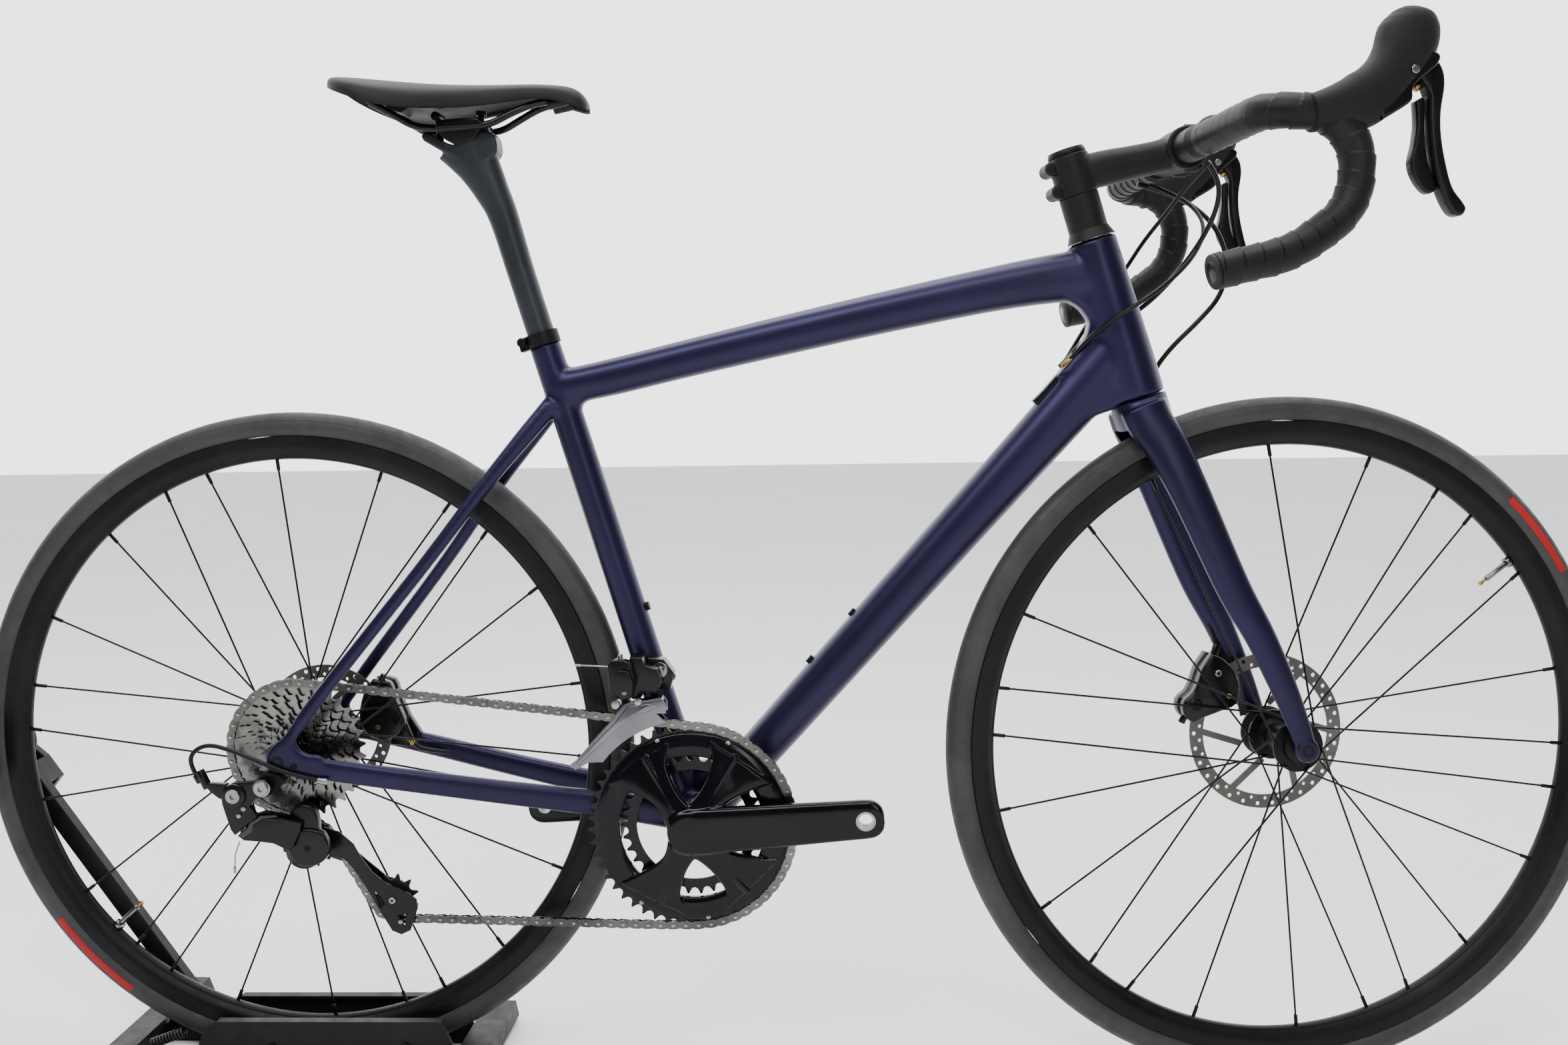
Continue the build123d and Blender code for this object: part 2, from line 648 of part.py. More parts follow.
with BuildPart() as seat_collar:
    low, high = Vector(*seat_line(742.2)), Vector(*seat_line(754.5))
    with BuildSketch(Plane(origin=low, x_dir=(0, 1, 0), z_dir=high - low)):
        Circle(16.8)
        with Locations((0, 17.5)):
            Rectangle(15, 12)
        Circle(POST_R + RUNNING_FIT, mode=Mode.SUBTRACT)
        with Locations((0, 20)):
            Rectangle(1.6, 16, mode=Mode.SUBTRACT)
    extrude(amount=(high - low).length)
collar_centre = seat_line(748)
with BuildPart() as collar_bolt:
    add(rod((collar_centre[0] - 19, -11, 745), (collar_centre[0] - 19, 11, 745), 2.5))
    add(rod((collar_centre[0] - 19, -12.5, 745), (collar_centre[0] - 19, -7.6, 745), 4.6))
save(group(cut(seat_collar.part, collar_bolt.part), collar_bolt.part), "seat_collar")

# hanger below the right dropout
hanger = slab([(-11, 330.5), (2, 327.5), (6, 322), (-4, 309), (-14, 306.5), (-22, 311), (-23, 321), (-17, 328)],
              -79.0, -72.0, 1.0)
save(cut(hanger, mirror(left_chainstay, about=Plane.XZ)), "derailleur_hanger")

# bottle-cage screws, two on the down tube and two on the seat tube
DOWN_TUBE_ANGLE = radians(48.04)
screws = []
for boss_x, boss_z in ((521.0, 423.6), (563.8, 471.2)):
    normal = (-sin(DOWN_TUBE_ANGLE), cos(DOWN_TUBE_ANGLE))
    base = (boss_x - 0.2 * normal[0], 0, boss_z - 0.2 * normal[1])
    tip = (boss_x + 3.2 * normal[0], 0, boss_z + 3.2 * normal[1])
    screws.append(rod(base, tip, 4.4))
for boss_height in (411.0, 475.0):
    bx, _, bz = seat_line(boss_height)
    out = (sin(radians(SEAT_ANGLE)), cos(radians(SEAT_ANGLE)))
    screws.append(rod((bx + 15.6 * out[0], 0, bz + 15.6 * out[1]), (bx + 19 * out[0], 0, bz + 19 * out[1]), 4.4))
save(cut(group(*screws), down_outer, seat_outer), "bottle_screws")

# ---------------------------------------------------------------- fork
leg_stations = [
    (843, 24, 664, 25, 46), (861, 35, 632, 24, 42), (880, 41.5, 590, 20, 38), (919, 48.5, 500, 18, 33.5),
    (945.6, 52, 450, 17, 29.5), (968, 54.5, 400, 14, 27), (983, 55.2, 362, 11, 23), (989, 55.2, 341, 10, 19),
]
left_leg = lofted(leg_stations)
crown_low = up_steerer(322) + Vector(6, 0, 0)
with BuildPart() as crown:
    with BuildSketch(Plane(origin=up_steerer(HEAD_BOTTOM - CLEARANCE), x_dir=(0, 1, 0), z_dir=STEER_UP)):
        Circle(26.8)
    with BuildSketch(Plane(origin=up_steerer(350), x_dir=(0, 1, 0), z_dir=STEER_UP)):
        Ellipse(35, 26.5)
    with BuildSketch(Plane(origin=crown_low, x_dir=(0, 1, 0), z_dir=STEER_UP)):
        Ellipse(47, 22)
    loft()
tyre_room = disc(FRONT_X, FRONT_Z, -21.5, 21.5, TYRE_R + 8)
steerer = steerer_ring(350, STEM_TOP, STEERER_R, STEERER_R, 12.3)
fork_end = disc(FRONT_X, FRONT_Z, FRONT_END_Y, 60.0, 11.0)
fork_half = join(left_leg, fork_end)
inner_room = disc(FRONT_X, FRONT_Z, -FRONT_END_Y, FRONT_END_Y, 90.0)
fork = cut(
    join(crown.part, steerer, fork_half, mirror(fork_half, about=Plane.XZ)),
    tyre_room, inner_room, disc(FRONT_X, FRONT_Z, -80.0, 80.0, AXLE_R),
)
save(steered(fork), "fork")

# ---------------------------------------------------------------- stem, spacers and bar
CLAMP_X = 886.5
CLAMP_Z = 918.0
SPACER_R = 18.9
gap = 0.02
cover = steerer_ring(HEAD_TOP + CLEARANCE, HEAD_TOP + 10.5, 23.4, 18.9, STEERER_R + gap)
spacer_edges = (HEAD_TOP + 10.5, HEAD_TOP + 20.5, HEAD_TOP + 30.5, SPACERS_TOP)
spacer_rings = [steerer_ring(a, b, SPACER_R, SPACER_R, STEERER_R + gap) for a, b in zip(spacer_edges, spacer_edges[1:])]
steerer_cap = join(
    steerer_ring(STEM_TOP + 0.1, STEM_TOP + 5.0, 18.2, 17.4, 0.0),
    steerer_ring(STEM_TOP - 12, STEM_TOP + 0.1, 12.2, 12.2, 0.0),
)
save(steered(group(cover, *spacer_rings, steerer_cap)), "headset_spacers")

stem_root = up_steerer((SPACERS_TOP + STEM_TOP) / 2)
stem_body = lofted([
    (stem_root.X + 6, 0, stem_root.Z + 1, 34, 34), (820, 0, 904.2, 32, 33), (850, 0, 910, 33, 31.5),
    (CLAMP_X - 12, 0, CLAMP_Z - 2, 42, 33),
])
with BuildPart() as stem:
    add(stem_body)
    add(steerer_ring(SPACERS_TOP, STEM_TOP, 19.2, 19.2, 0.0))
    for station in (579.5, 603.0):
        ear = up_steerer(station) - Vector(sin(radians(HEAD_ANGLE)), 0, cos(radians(HEAD_ANGLE))) * 21
        add(rod((ear.X, -12, ear.Z), (ear.X, 12, ear.Z), 6.6))
    add(disc(CLAMP_X, CLAMP_Z, -21, 21, 20.5))
    add(steerer_ring(SPACERS_TOP - 4, STEM_TOP + 3, STEERER_R + gap, STEERER_R + gap, 0.0), mode=Mode.SUBTRACT)
    add(disc(CLAMP_X, CLAMP_Z, -30, 30, BAR_CLAMP_R), mode=Mode.SUBTRACT)
    add(slab([(CLAMP_X, CLAMP_Z - 30), (CLAMP_X + 40, CLAMP_Z - 22), (CLAMP_X + 26, CLAMP_Z + 40),
              (CLAMP_X - 6, CLAMP_Z + 30)], -30, 30), mode=Mode.SUBTRACT)
    slit = up_steerer(591) - Vector(26, 0, 0)
    add(slab([(slit.X - 12, slit.Z - 40), (slit.X + 14, slit.Z - 40), (slit.X + 8, slit.Z + 40),
              (slit.X - 18, slit.Z + 40)], -0.8, 0.8), mode=Mode.SUBTRACT)
save(steered(stem.part), "stem")
with BuildPart() as faceplate:
    add(disc(CLAMP_X, CLAMP_Z, -21, 21, 20.5, BAR_CLAMP_R))
    with BuildSketch(at_y(30)):
        with BuildLine():
            Polyline((CLAMP_X + 1.5, CLAMP_Z - 30), (CLAMP_X + 40, CLAMP_Z - 22), (CLAMP_X + 26, CLAMP_Z + 40),
                     (CLAMP_X - 4.5, CLAMP_Z + 30), close=True)
        make_face()
    extrude(amount=60, mode=Mode.INTERSECT)
save(steered(faceplate.part), "stem_faceplate")

BAR_ROUTE = [
    (CLAMP_X, 0, CLAMP_Z), (CLAMP_X, BAR_HALF_WIDTH - 2, CLAMP_Z - 3), (961, BAR_HALF_WIDTH, 906),
    (956.5, BAR_HALF_WIDTH + 4, 832), (902, BAR_HALF_WIDTH + 6, 794.5), (835.6, BAR_HALF_WIDTH + 7, 779.5),
]
BAR_BENDS = [34, 42, 56, 110]


def along_bar(radius, hole, skip):
    """Round section swept along the left half of the bar, leaving out its first stretch."""
    points = [(CLAMP_X, skip, CLAMP_Z - 3 * skip / BAR_HALF_WIDTH)] + BAR_ROUTE[1:]
    with BuildPart() as piece:
        with BuildLine() as route:
            FilletPolyline(*points, radius=BAR_BENDS)
        wire = route.wires()[0]
        with BuildSketch(Plane(origin=wire @ 0, z_dir=wire % 0)):
            Circle(radius)
            if hole:
                Circle(hole, mode=Mode.SUBTRACT)
        sweep()
    return piece.part


bulge = turned([(0, -62), (BAR_R, -62), (BAR_CLAMP_R, -50), (BAR_CLAMP_R, 50), (BAR_R, 62), (0, 62)],
               CLAMP_X, CLAMP_Z)
half_bar = along_bar(BAR_R, 0.0, 0.0)
handlebar = join(half_bar, mirror(half_bar, about=Plane.XZ), bulge)
save(steered(handlebar), "handlebar")
left_tape = along_bar(TAPE_R, BAR_R + 0.1, 66.0)

# brake and shift levers: hood with the hydraulic body, blade and paddle
HOOD_SIDE = [
    (925, 927), (945, 934), (960, 941), (969.5, 952), (974, 968), (980, 986), (996, 996.5), (1012, 997),
    (1026, 988), (1031, 970), (1026, 955), (1024, 944), (1012, 938), (1003, 930), (996, 913), (980, 901.5),
    (966, 893), (948, 884), (938, 897), (930, 912),
]
with BuildPart() as hood:
    with BuildSketch(at_y(BAR_HALF_WIDTH + 17)):
        with BuildLine():
            Polyline(*HOOD_SIDE, close=True)
        make_face()
    extrude(amount=34)
    chamfer(hood.faces().filter_by(Axis.Y).edges(), 5)
bar_core = along_bar(BAR_R + 0.1, 0.0, 66.0)
blade_room = slab([(1008, 960), (1040, 960), (1045, 900), (1000, 900), (1000, 934)],
                  BAR_HALF_WIDTH - 8.5, BAR_HALF_WIDTH + 8.5)
left_hood = cut(hood.part, bar_core, blade_room)
save(steered(both_sides(left_hood)), "hoods")
left_tape = cut(left_tape, hood.part)
plug = rod((835.5, BAR_HALF_WIDTH + 7, 779.48), (831.8, BAR_HALF_WIDTH + 7.1, 778.64), 14.6)
left_wrap = group(left_tape, plug)
save(steered(both_sides(left_wrap)), "bar_tape")

BLADE = [
    (1011, 955), (1022, 957), (1031, 944), (1033, 930), (1029, 905), (1030.5, 885), (1035, 862), (1042, 842),
    (1050, 832), (1048, 825), (1040, 826), (1033, 838), (1025, 862), (1020.5, 885), (1019, 905), (1019, 925),
    (1011, 938),
]
PADDLE = [(1009, 918), (1017, 921), (1016.5, 890), (1020, 866), (1028, 847), (1022, 843), (1010, 855), (1005, 869),
          (1009, 884)]
LEVER_BORE_R = 1.5  # hole for the lever's pivot pin
PADDLE_BORE_R = 1.2
for side_name, sign in (("left", 1), ("right", -1)):
    blade = cut(slab(BLADE, BAR_HALF_WIDTH - 8, BAR_HALF_WIDTH + 8, 2.5),
                disc(1014, 947, BAR_HALF_WIDTH - 10, BAR_HALF_WIDTH + 10, LEVER_BORE_R))
    paddle = cut(slab(PADDLE, BAR_HALF_WIDTH - 7, BAR_HALF_WIDTH + 4, 1.5),
                 rod((1013, BAR_HALF_WIDTH, 888), (1013, BAR_HALF_WIDTH, 930), PADDLE_BORE_R))
    if sign < 0:
        blade = mirror(blade, about=Plane.XZ)
        paddle = mirror(paddle, about=Plane.XZ)
    save(steered(blade), f"brake_lever_{side_name}")
    save(steered(paddle), f"shift_paddle_{side_name}")

# ---------------------------------------------------------------- brake calipers
def caliper(corner, along, rotor_y, length, depth):
    """Caliper body standing off a stay: corner is its foot, along its direction, with a slot for the rotor."""
    ux, uz = cos(radians(along)), sin(radians(along))
    nx, nz = -uz, ux

    def place(a, b):
        return corner[0] + a * ux + b * nx, corner[1] + a * uz + b * nz

    with BuildPart() as body:
        add(slab([place(0, 0), place(length, 0), place(length, depth * 0.55), place(length * 0.8, depth),
                  place(length * 0.2, depth), place(0, depth * 0.6)], rotor_y - 17, rotor_y + 17, 3.0))
        with BuildSketch(at_y(rotor_y + 20)):
            with Locations(place(length * 0.3, depth * 0.55), place(length * 0.68, depth * 0.5)):
                Circle(8.5)
        extrude(amount=40)
    return body.part


front_caliper = cut(caliper((966, 366), 115.2, FRONT_ROTOR_Y, 62.0, 42.0),
                    disc(FRONT_X, FRONT_Z, FRONT_ROTOR_Y - 1.7, FRONT_ROTOR_Y + 1.7, FRONT_ROTOR_R + 1.5), fork,
                    disc(FRONT_X, FRONT_Z, -21, 27.2, 300.0))
save(steered(front_caliper), "front_caliper")
rear_caliper = cut(caliper((89, 332), 98.0, REAR_ROTOR_Y, 63.0, 42.0),
                   disc(0, HUB_Z, REAR_ROTOR_Y - 1.7, REAR_ROTOR_Y + 1.7, REAR_ROTOR_R + 1.5), left_chainstay,
                   disc(0, HUB_Z, -21, 40, 300.0), left_seatstay)
save(rear_caliper, "rear_caliper")

# ---------------------------------------------------------------- seat post and saddle
POST_TOP = 872.0
post_head = slab([
    (219.5, POST_TOP - 12), (206.5, 881), (198, 900), (184, 920), (166, 934.5), (152, 942), (152, 945.5), (160, 946.5),
    (172, 938), (186, 935), (200, 940), (206, 947.5), (218, 947), (223, 938), (228.5, 911), (239, POST_TOP),
], -13.4, 13.4)
post_shaft = rod(seat_line(560), seat_line(POST_TOP), POST_R, 11.2)
clamp_plate = slab([(155, 951.5), (160, 958.5), (168, 964), (208, 964), (216, 958.5), (218, 952), (208, 948.5),
                    (200, 943), (186, 938.5), (172, 941.5), (162, 948)], -16.0, 16.0)
save(group(join(post_head, post_shaft), cut(clamp_plate, post_head)), "seatpost")

RAIL_Y = 22.0
RAIL_R = 3.5


def rail(points):
    """Saddle rail bent from round bar."""
    with BuildPart() as piece:
        with BuildLine() as route:
            FilletPolyline(*points, radius=bend_radii(points))
        wire = route.wires()[0]
        with BuildSketch(Plane(origin=wire @ 0, z_dir=wire % 0)):
            Circle(RAIL_R)
        sweep()
    return piece.part


left_rail = rail([(108, 34, 976), (128, 28, 965), (146, RAIL_Y, 954), (168, RAIL_Y, 951.5), (200, RAIL_Y, 952.5),
                  (222, RAIL_Y, 954.5), (240, 20, 964), (262, 14, 974), (286, 7.6, 978)])
save(both_sides(left_rail), "saddle_rails")

with BuildPart() as saddle:
    with BuildSketch(at_y(80)):
        with BuildLine():
            Polyline((63, 1000), (70, 1003), (100, 1000), (160, 995.5), (240, 994.5), (285, 993.5), (302, 989),
                     (312, 980), (313.5, 969), (308, 967), (292, 970), (276, 982), (240, 984), (200, 982),
                     (150, 980), (110, 979), (82, 983.5), close=True)
        make_face()
    extrude(amount=160)
    with BuildSketch(Plane.XY.offset(940)):
        with BuildLine():
            outline = [(67, 14), (66, 40), (78, 62), (104, 71.5), (132, 70), (160, 56), (190, 37), (225, 27),
                       (270, 22), (300, 18), (313, 8)]
            half = Polyline(*outline)
            Polyline(outline[0], (82, 0), (outline[0][0], -outline[0][1]))
            Polyline(*[(x, -y) for x, y in outline])
            Line((313, 8), (313, -8))
        make_face()
    extrude(amount=80, mode=Mode.INTERSECT)
save(cut(saddle.part, left_rail, mirror(left_rail, about=Plane.XZ)), "saddle_pad")

# ---------------------------------------------------------------- rear derailleur
B_AXIS = (-42.0, 309.0)
HANGER_BOLT = (-13.5, 316.5)
LINK_TOP = (-36.0, -76.0)  # x, y of the upper link pin
LINK_LOW = (8.0, -55.0)
knuckle = join(
    slab([(-52, 300), (-52, 316), (-44, 322), (-20, 326), (-8, 322), (-6, 312), (-14, 308), (-30, 300)],
         -86.0, -79.4, 1.0),
    disc(*B_AXIS, -88.0, -73.0, 11.0),
    disc(*HANGER_BOLT, -87.0, -79.4, 7.0),
    slab([(-52, 305), (-58, 290), (-50, 276), (-40, 270), (-30, 274), (-30, 300), (-34, 312)], -84.0, -70.0, 1.5),
    rod((-80, -80, 326), (-66, -80, 306), 4.2),
    slab([(-78, 312), (-52, 300), (-52, 312), (-70, 320)], -84.0, -77.0, 1.0),
)
link_room = rod((LINK_TOP[0], LINK_TOP[1], 262), (LINK_TOP[0], LINK_TOP[1], 298), 12.0)
save(cut(knuckle, link_room), "rd_knuckle")
with BuildPart() as rd_links:
    for pin_z in (268.0, 284.0):
        with BuildSketch(Plane.XY.offset(pin_z)):
            with BuildLine():
                ax, ay = LINK_TOP
                bx, by = LINK_LOW
                run = atan2(by - ay, bx - ax)
                side = (6.5 * -sin(run), 6.5 * cos(run))
                Polyline((ax + side[0], ay + side[1]), (bx + side[0], by + side[1]), (bx - side[0], by - side[1]),
                         (ax - side[0], ay - side[1]), close=True)
            make_face()
        extrude(amount=6)
    add(rod((*LINK_TOP, 266), (*LINK_TOP, 292), 6.5))
    with BuildSketch(Plane.XY.offset(274)):
        with BuildLine():
            Polyline((ax - side[0], ay - side[1]), (bx - side[0], by - side[1]),
                     (bx - 0.6 * side[0], by - 0.6 * side[1]), (ax - 0.6 * side[0], ay - 0.6 * side[1]), close=True)
        make_face()
    extrude(amount=10)
save(rd_links.part, "rd_links")
mover_room = rod((*LINK_LOW, 265.65), (*LINK_LOW, 292.35), 14.0)
rd_mover = join(
    disc(GUIDE_X, GUIDE_Z, -62.0, -38.0, 17.0),
    cut(slab([(0, 250), (-3, 262), (0, 297), (20, 299), (31, 290), (31, 262), (24, 248)], -60.0, -46.0), mover_room),
)
save(rd_mover, "rd_mover")

def cage_plate(y_from, y_to, end_r):
    """Cage plate that joins the two pulley pins."""
    ux, uz = cos(CAGE_ANGLE), sin(CAGE_ANGLE)
    far = CAGE_LENGTH
    outline = [(-6, 13), (16, 15), (40, 2), (74, 4), (far, 12), (far + end_r, 4), (far + end_r - 2, -9),
               (far - 6, -16), (70, -14), (36, -14), (14, -13), (-8, -11), (-13, 0)]
    with BuildPart() as plate:
        with BuildSketch(at_y(y_to)):
            with BuildLine():
                Polyline(*[(GUIDE_X + a * ux - b * uz, GUIDE_Z + a * uz + b * ux) for a, b in outline], close=True)
            make_face()
        extrude(amount=y_to - y_from)
        chamfer(plate.faces().filter_by(Axis.Y).edges(), 0.4)
    return plate.part


rd_cage = join(
    cage_plate(-36.6, -34.2, 15.0),
    cage_plate(-21.8, -19.6, 13.0),
    disc(GUIDE_X, GUIDE_Z, -37.65, -19.6, 2.5),
    disc(TENSION_X, TENSION_Z, -36.6, -19.6, 2.5),
)
save(rd_cage, "rd_cage")
for wheel_name, index, wx, wz in (("guide_pulley", 1, GUIDE_X, GUIDE_Z), ("tension_pulley", 2, TENSION_X, TENSION_Z)):
    pulley = join(sprocket(wx, wz, COG_Y, PULLEY_TEETH, seat_angle(index), 1.8, 2.5 + RUNNING_FIT),
                  disc(wx, wz, COG_Y - 4, COG_Y + 4, 7.5, 2.5 + RUNNING_FIT))
    save(pulley, wheel_name)

# ---------------------------------------------------------------- front derailleur
fd_base = slab([(338, 400), (338, 424), (346, 432), (362, 432), (372, 424), (376, 408), (370, 396), (346, 394)],
               -42.0, -21.0, 2.0)
fd_tab = slab([(352, 398), (360, 430), (376, 424), (382, 402), (374, 396)], -24.0, -10.0, 0.0)
fd_body = cut(join(fd_base, fd_tab), seat_outer)
save(fd_body, "fd_body")
arc_points = [polar(BB_X, BB_Z, 107.5, radians(a)) for a in (98, 106, 114, 122, 130, 138, 145)]
fd_side = [(392, 388), (372, 391), (356, 385), (297, 331), (298, 324)] + arc_points[::-1]
fd_outer_plate = slab(fd_side, -54.4, -53.2, 0.0)
fd_inner_plate = slab(fd_side, -40.6, -39.4, 0.0)
fd_bridge = slab([(348, 387.5), (372, 391), (372, 388.6), (350, 384)], -53.4, -40.4, 0.0)
fd_arm = slab([(350, 386), (368, 389), (366, 394.5), (352, 393.8)], -50.0, -41.0, 0.0)
save(join(fd_outer_plate, fd_inner_plate, fd_bridge, fd_arm), "fd_cage")

# ---------------------------------------------------------------- hoses and housings
HOSE_R = 2.5
front_brake_route = [
    (872, 82, 900), (894, 80, 894), (922, 66, 878), (943, 50, 852), (950, 38, 816), (940, 30, 782),
    (915, 28, 756), (889, 34, 731), (872, 41, 706), (862, 45, 682),
]
rear_brake_route = following_bar([
    (894, -50, 898), (908, -44, 884), (912, -30, 860), (903, -10, 831), (886, 10, 803), (863, 28, 776),
    (838, 39, 758), (815, 36, 748), (794, 16, 741), (776, 3, 718.5),
])
front_shift_route = following_bar([
    (878, 64, 896), (902, 56, 886), (918, 36, 866), (914, 10, 842), (895, -12, 816), (868, -30, 792),
    (840, -39, 773), (814, -36, 757), (793, -20, 740), (775, -10, 717.5),
])
rear_shift_route = following_bar([
    (890, -66, 896), (877, -48, 880), (865, -22, 856), (852, 6, 834), (841, 32, 810), (826, 44, 786),
    (808, 42, 764), (793, 27, 745), (775, 12, 718),
])
cables = group(
    steered(hose("front_brake_hose", front_brake_route, HOSE_R)),
    hose("rear_brake_hose", rear_brake_route, HOSE_R),
    hose("front_shift_housing", front_shift_route, 2.0),
    hose("rear_shift_housing", rear_shift_route, 2.0),
)
save(cables, "front_cables")
rd_housing_route = [
    (46, -81.5, 322.5), (16, -82, 328.5), (-14, -82.5, 341), (-44, -83, 354), (-66, -83, 360), (-82, -82.5, 353),
    (-87, -81.5, 340), (-80.3, -80.2, 326.4),
]
rd_housing = hose("rd_housing", rd_housing_route, 2.2)
save(rd_housing, "rd_housing")

# ---------------------------------------------------------------- stand
TRAY_HALF = 36.0
SHEET = 3.0
wall_side = [(-186, 0), (-186, 18), (-182, 24), (-120, 24), (-112, 46), (-98, 54), (139, 56), (151, 27), (154, 0)]
near_wall = slab(wall_side, -TRAY_HALF, -TRAY_HALF + SHEET)
top_flange = slab([(-98, 51), (-98, 54), (139, 56), (139, 53)], -TRAY_HALF, -TRAY_HALF + 10)
half_tray = join(near_wall, top_flange)
ARM_PIVOT = (-124.0, 17.0)
ARM_Y = (18.5, 32.3)
pivot_pin = disc(*ARM_PIVOT, -TRAY_HALF - 4, TRAY_HALF + 4, 4.0)
far_wall = mirror(near_wall, about=Plane.XZ)
far_flange = mirror(top_flange, about=Plane.XZ)
save(group(cut(half_tray, pivot_pin), cut(join(far_wall, far_flange), pivot_pin), pivot_pin), "stand_walls")


def cross_foot(x_from, x_to, half_width, height):
    """Pressed-steel cross member with chamfered ends."""
    with BuildPart() as foot:
        with BuildSketch(Plane.YZ.offset(x_from)):
            with BuildLine():
                Polyline((-half_width, 4), (-half_width + 12, height), (half_width - 12, height), (half_width, 4),
                         close=True)
            make_face()
        extrude(amount=x_to - x_from)
    return foot.part


front_foot = cross_foot(154.3, 186.0, 95.0, 26.0)
rear_foot = cut(cross_foot(-216.0, -186.3, 150.0, 26.0))
floor_tie = slab([(-186.3, 2), (-186.3, 6), (154.3, 6), (154.3, 2)], TRAY_HALF + 0.05, TRAY_HALF + 12)
far_tie = slab([(-186.3, 2), (-186.3, 6), (154.3, 6), (154.3, 2)], -TRAY_HALF - 12, -TRAY_HALF - 0.05)
save(join(front_foot, rear_foot, floor_tie, far_tie), "stand_base")
pads = []
for foot_x, foot_y in ((170, 82), (170, -82), (-201, 136), (-201, -136)):
    pads.append(rod((foot_x, foot_y, 0), (foot_x, foot_y, 4), 11))
save(group(*pads), "stand_feet")

ROLLER_AXIS = (-351.4, 332.0)
ROLLER_HALF = [(10.4, 3), (13.4, 9), (21.5, 14), (30, 22), (36.5, 34), (38, 39), (37, 43), (34, 45)]
save(turned([(6.05, -45), *[(r, -y) for r, y in reversed(ROLLER_HALF)], *ROLLER_HALF, (6.05, 45)], *ROLLER_AXIS),
     "stand_roller")

arm_ux, arm_uz = -sin(radians(33.9)), cos(radians(33.9))


def beside_arm(station, offset):
    """Point beside the arm's centre line, offset towards the wheel's hub."""
    return ARM_PIVOT[0] + station * arm_ux + offset * arm_uz, ARM_PIVOT[1] + station * arm_uz - offset * arm_ux


arm_blade = slab([beside_arm(-9, -6), beside_arm(-5, 9), beside_arm(349, 10), beside_arm(349, -10),
                  beside_arm(4, -10)], *ARM_Y, 1.0)
arm_step = slab([beside_arm(322, -10), beside_arm(322, 10), beside_arm(349, 10), beside_arm(349, -10)],
                ARM_Y[0] + 6, 58.0, 1.0)
arm_elbow = slab([beside_arm(322, 10), beside_arm(349, 10), (ROLLER_AXIS[0] + 4, ROLLER_AXIS[1] + 12),
                  (ROLLER_AXIS[0] - 10, ROLLER_AXIS[1] + 8), (ROLLER_AXIS[0] - 10, ROLLER_AXIS[1] - 8),
                  beside_arm(316, -10)], 48.0, 58.0, 1.0)
roller_room = disc(*ROLLER_AXIS, -45.5, 45.5, 39.0)
arm_axle = disc(*ROLLER_AXIS, -48.0, 58.0, 6.0)
stand_arm = cut(join(cut(join(arm_blade, arm_step, arm_elbow), roller_room), arm_axle),
                disc(*ARM_PIVOT, 10.0, 60.0, 4.0 + RUNNING_FIT))
save(stand_arm, "stand_arm")

# return spring of the arm, lying inside the near wall
save(rod((-176, -23.5, 23), (-136, -23.5, 38), 5.5, 3.3), "arm_spring")
print("parts written")
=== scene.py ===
"""Looks of the road bicycle and its floor stand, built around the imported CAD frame.

Everything is in metres, in the frame of the CAD model: +X forward, +Y to the bicycle's left, +Z up.
Points of the front end are written straight ahead, and turned to the parked steering angle by front().
"""

import json
import math

import bmesh
import bpy
from mathutils import Matrix, Vector


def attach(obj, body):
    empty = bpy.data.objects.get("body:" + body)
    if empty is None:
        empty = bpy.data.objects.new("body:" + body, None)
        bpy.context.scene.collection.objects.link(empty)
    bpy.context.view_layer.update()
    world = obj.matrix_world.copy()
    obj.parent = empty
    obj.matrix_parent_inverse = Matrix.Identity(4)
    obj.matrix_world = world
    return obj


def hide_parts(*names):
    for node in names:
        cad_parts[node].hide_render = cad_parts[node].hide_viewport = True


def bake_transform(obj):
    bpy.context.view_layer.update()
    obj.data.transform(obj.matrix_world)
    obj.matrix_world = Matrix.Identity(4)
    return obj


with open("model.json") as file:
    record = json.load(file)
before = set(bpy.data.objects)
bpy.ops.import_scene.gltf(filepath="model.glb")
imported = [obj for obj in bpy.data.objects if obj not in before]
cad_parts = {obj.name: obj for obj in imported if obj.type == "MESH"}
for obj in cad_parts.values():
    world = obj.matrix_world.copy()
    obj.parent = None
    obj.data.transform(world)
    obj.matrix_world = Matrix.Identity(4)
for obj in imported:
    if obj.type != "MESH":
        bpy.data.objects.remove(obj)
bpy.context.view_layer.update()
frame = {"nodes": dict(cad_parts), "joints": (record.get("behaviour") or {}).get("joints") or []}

# ---------------------------------------------------------------- driving dimensions, in millimetres
MM = 0.001
HUB_Z = 340.0
WHEELBASE = 990.0
TYRE_R = 340.0
TYRE_SECTION_R = 14.0
RIM_INNER_R = 292.8
RIM_OUTER_R = 316.6
HEAD_ANGLE = math.radians(73.5)
STEER_DEG = 9.2
BB = (403.0, 266.5)
BAR_HALF_WIDTH = 208.0
CLAMP = (886.5, 918.0)
STEM_CLAMP_STATIONS = (580.0, 602.5)  # of the two clamp screws, along the steerer
CRANK_DEG = 4.4  # of the right arm above level
CRANK_LENGTH = 172.5
PEDAL_EYE_R = 7.3
SPIDER = (54.0, 117.5, -117.5, -54.0)  # degrees from the right arm
B_AXIS = (-42.0, 309.0)
HANGER_BOLT = (-13.5, 316.5)
LINK_TOP = (-36.0, -76.0)
LINK_LOW = (8.0, -55.0)
JOINTS = {joint["name"]: joint for joint in frame["joints"]}
STEER_POINT = Vector(JOINTS["steering"]["pos_m"])
STEER_AXIS = Vector(JOINTS["steering"]["axis"])
STEER = (
    Matrix.Translation(STEER_POINT)
    @ Matrix.Rotation(math.radians(STEER_DEG), 4, STEER_AXIS)
    @ Matrix.Translation(-STEER_POINT)
)


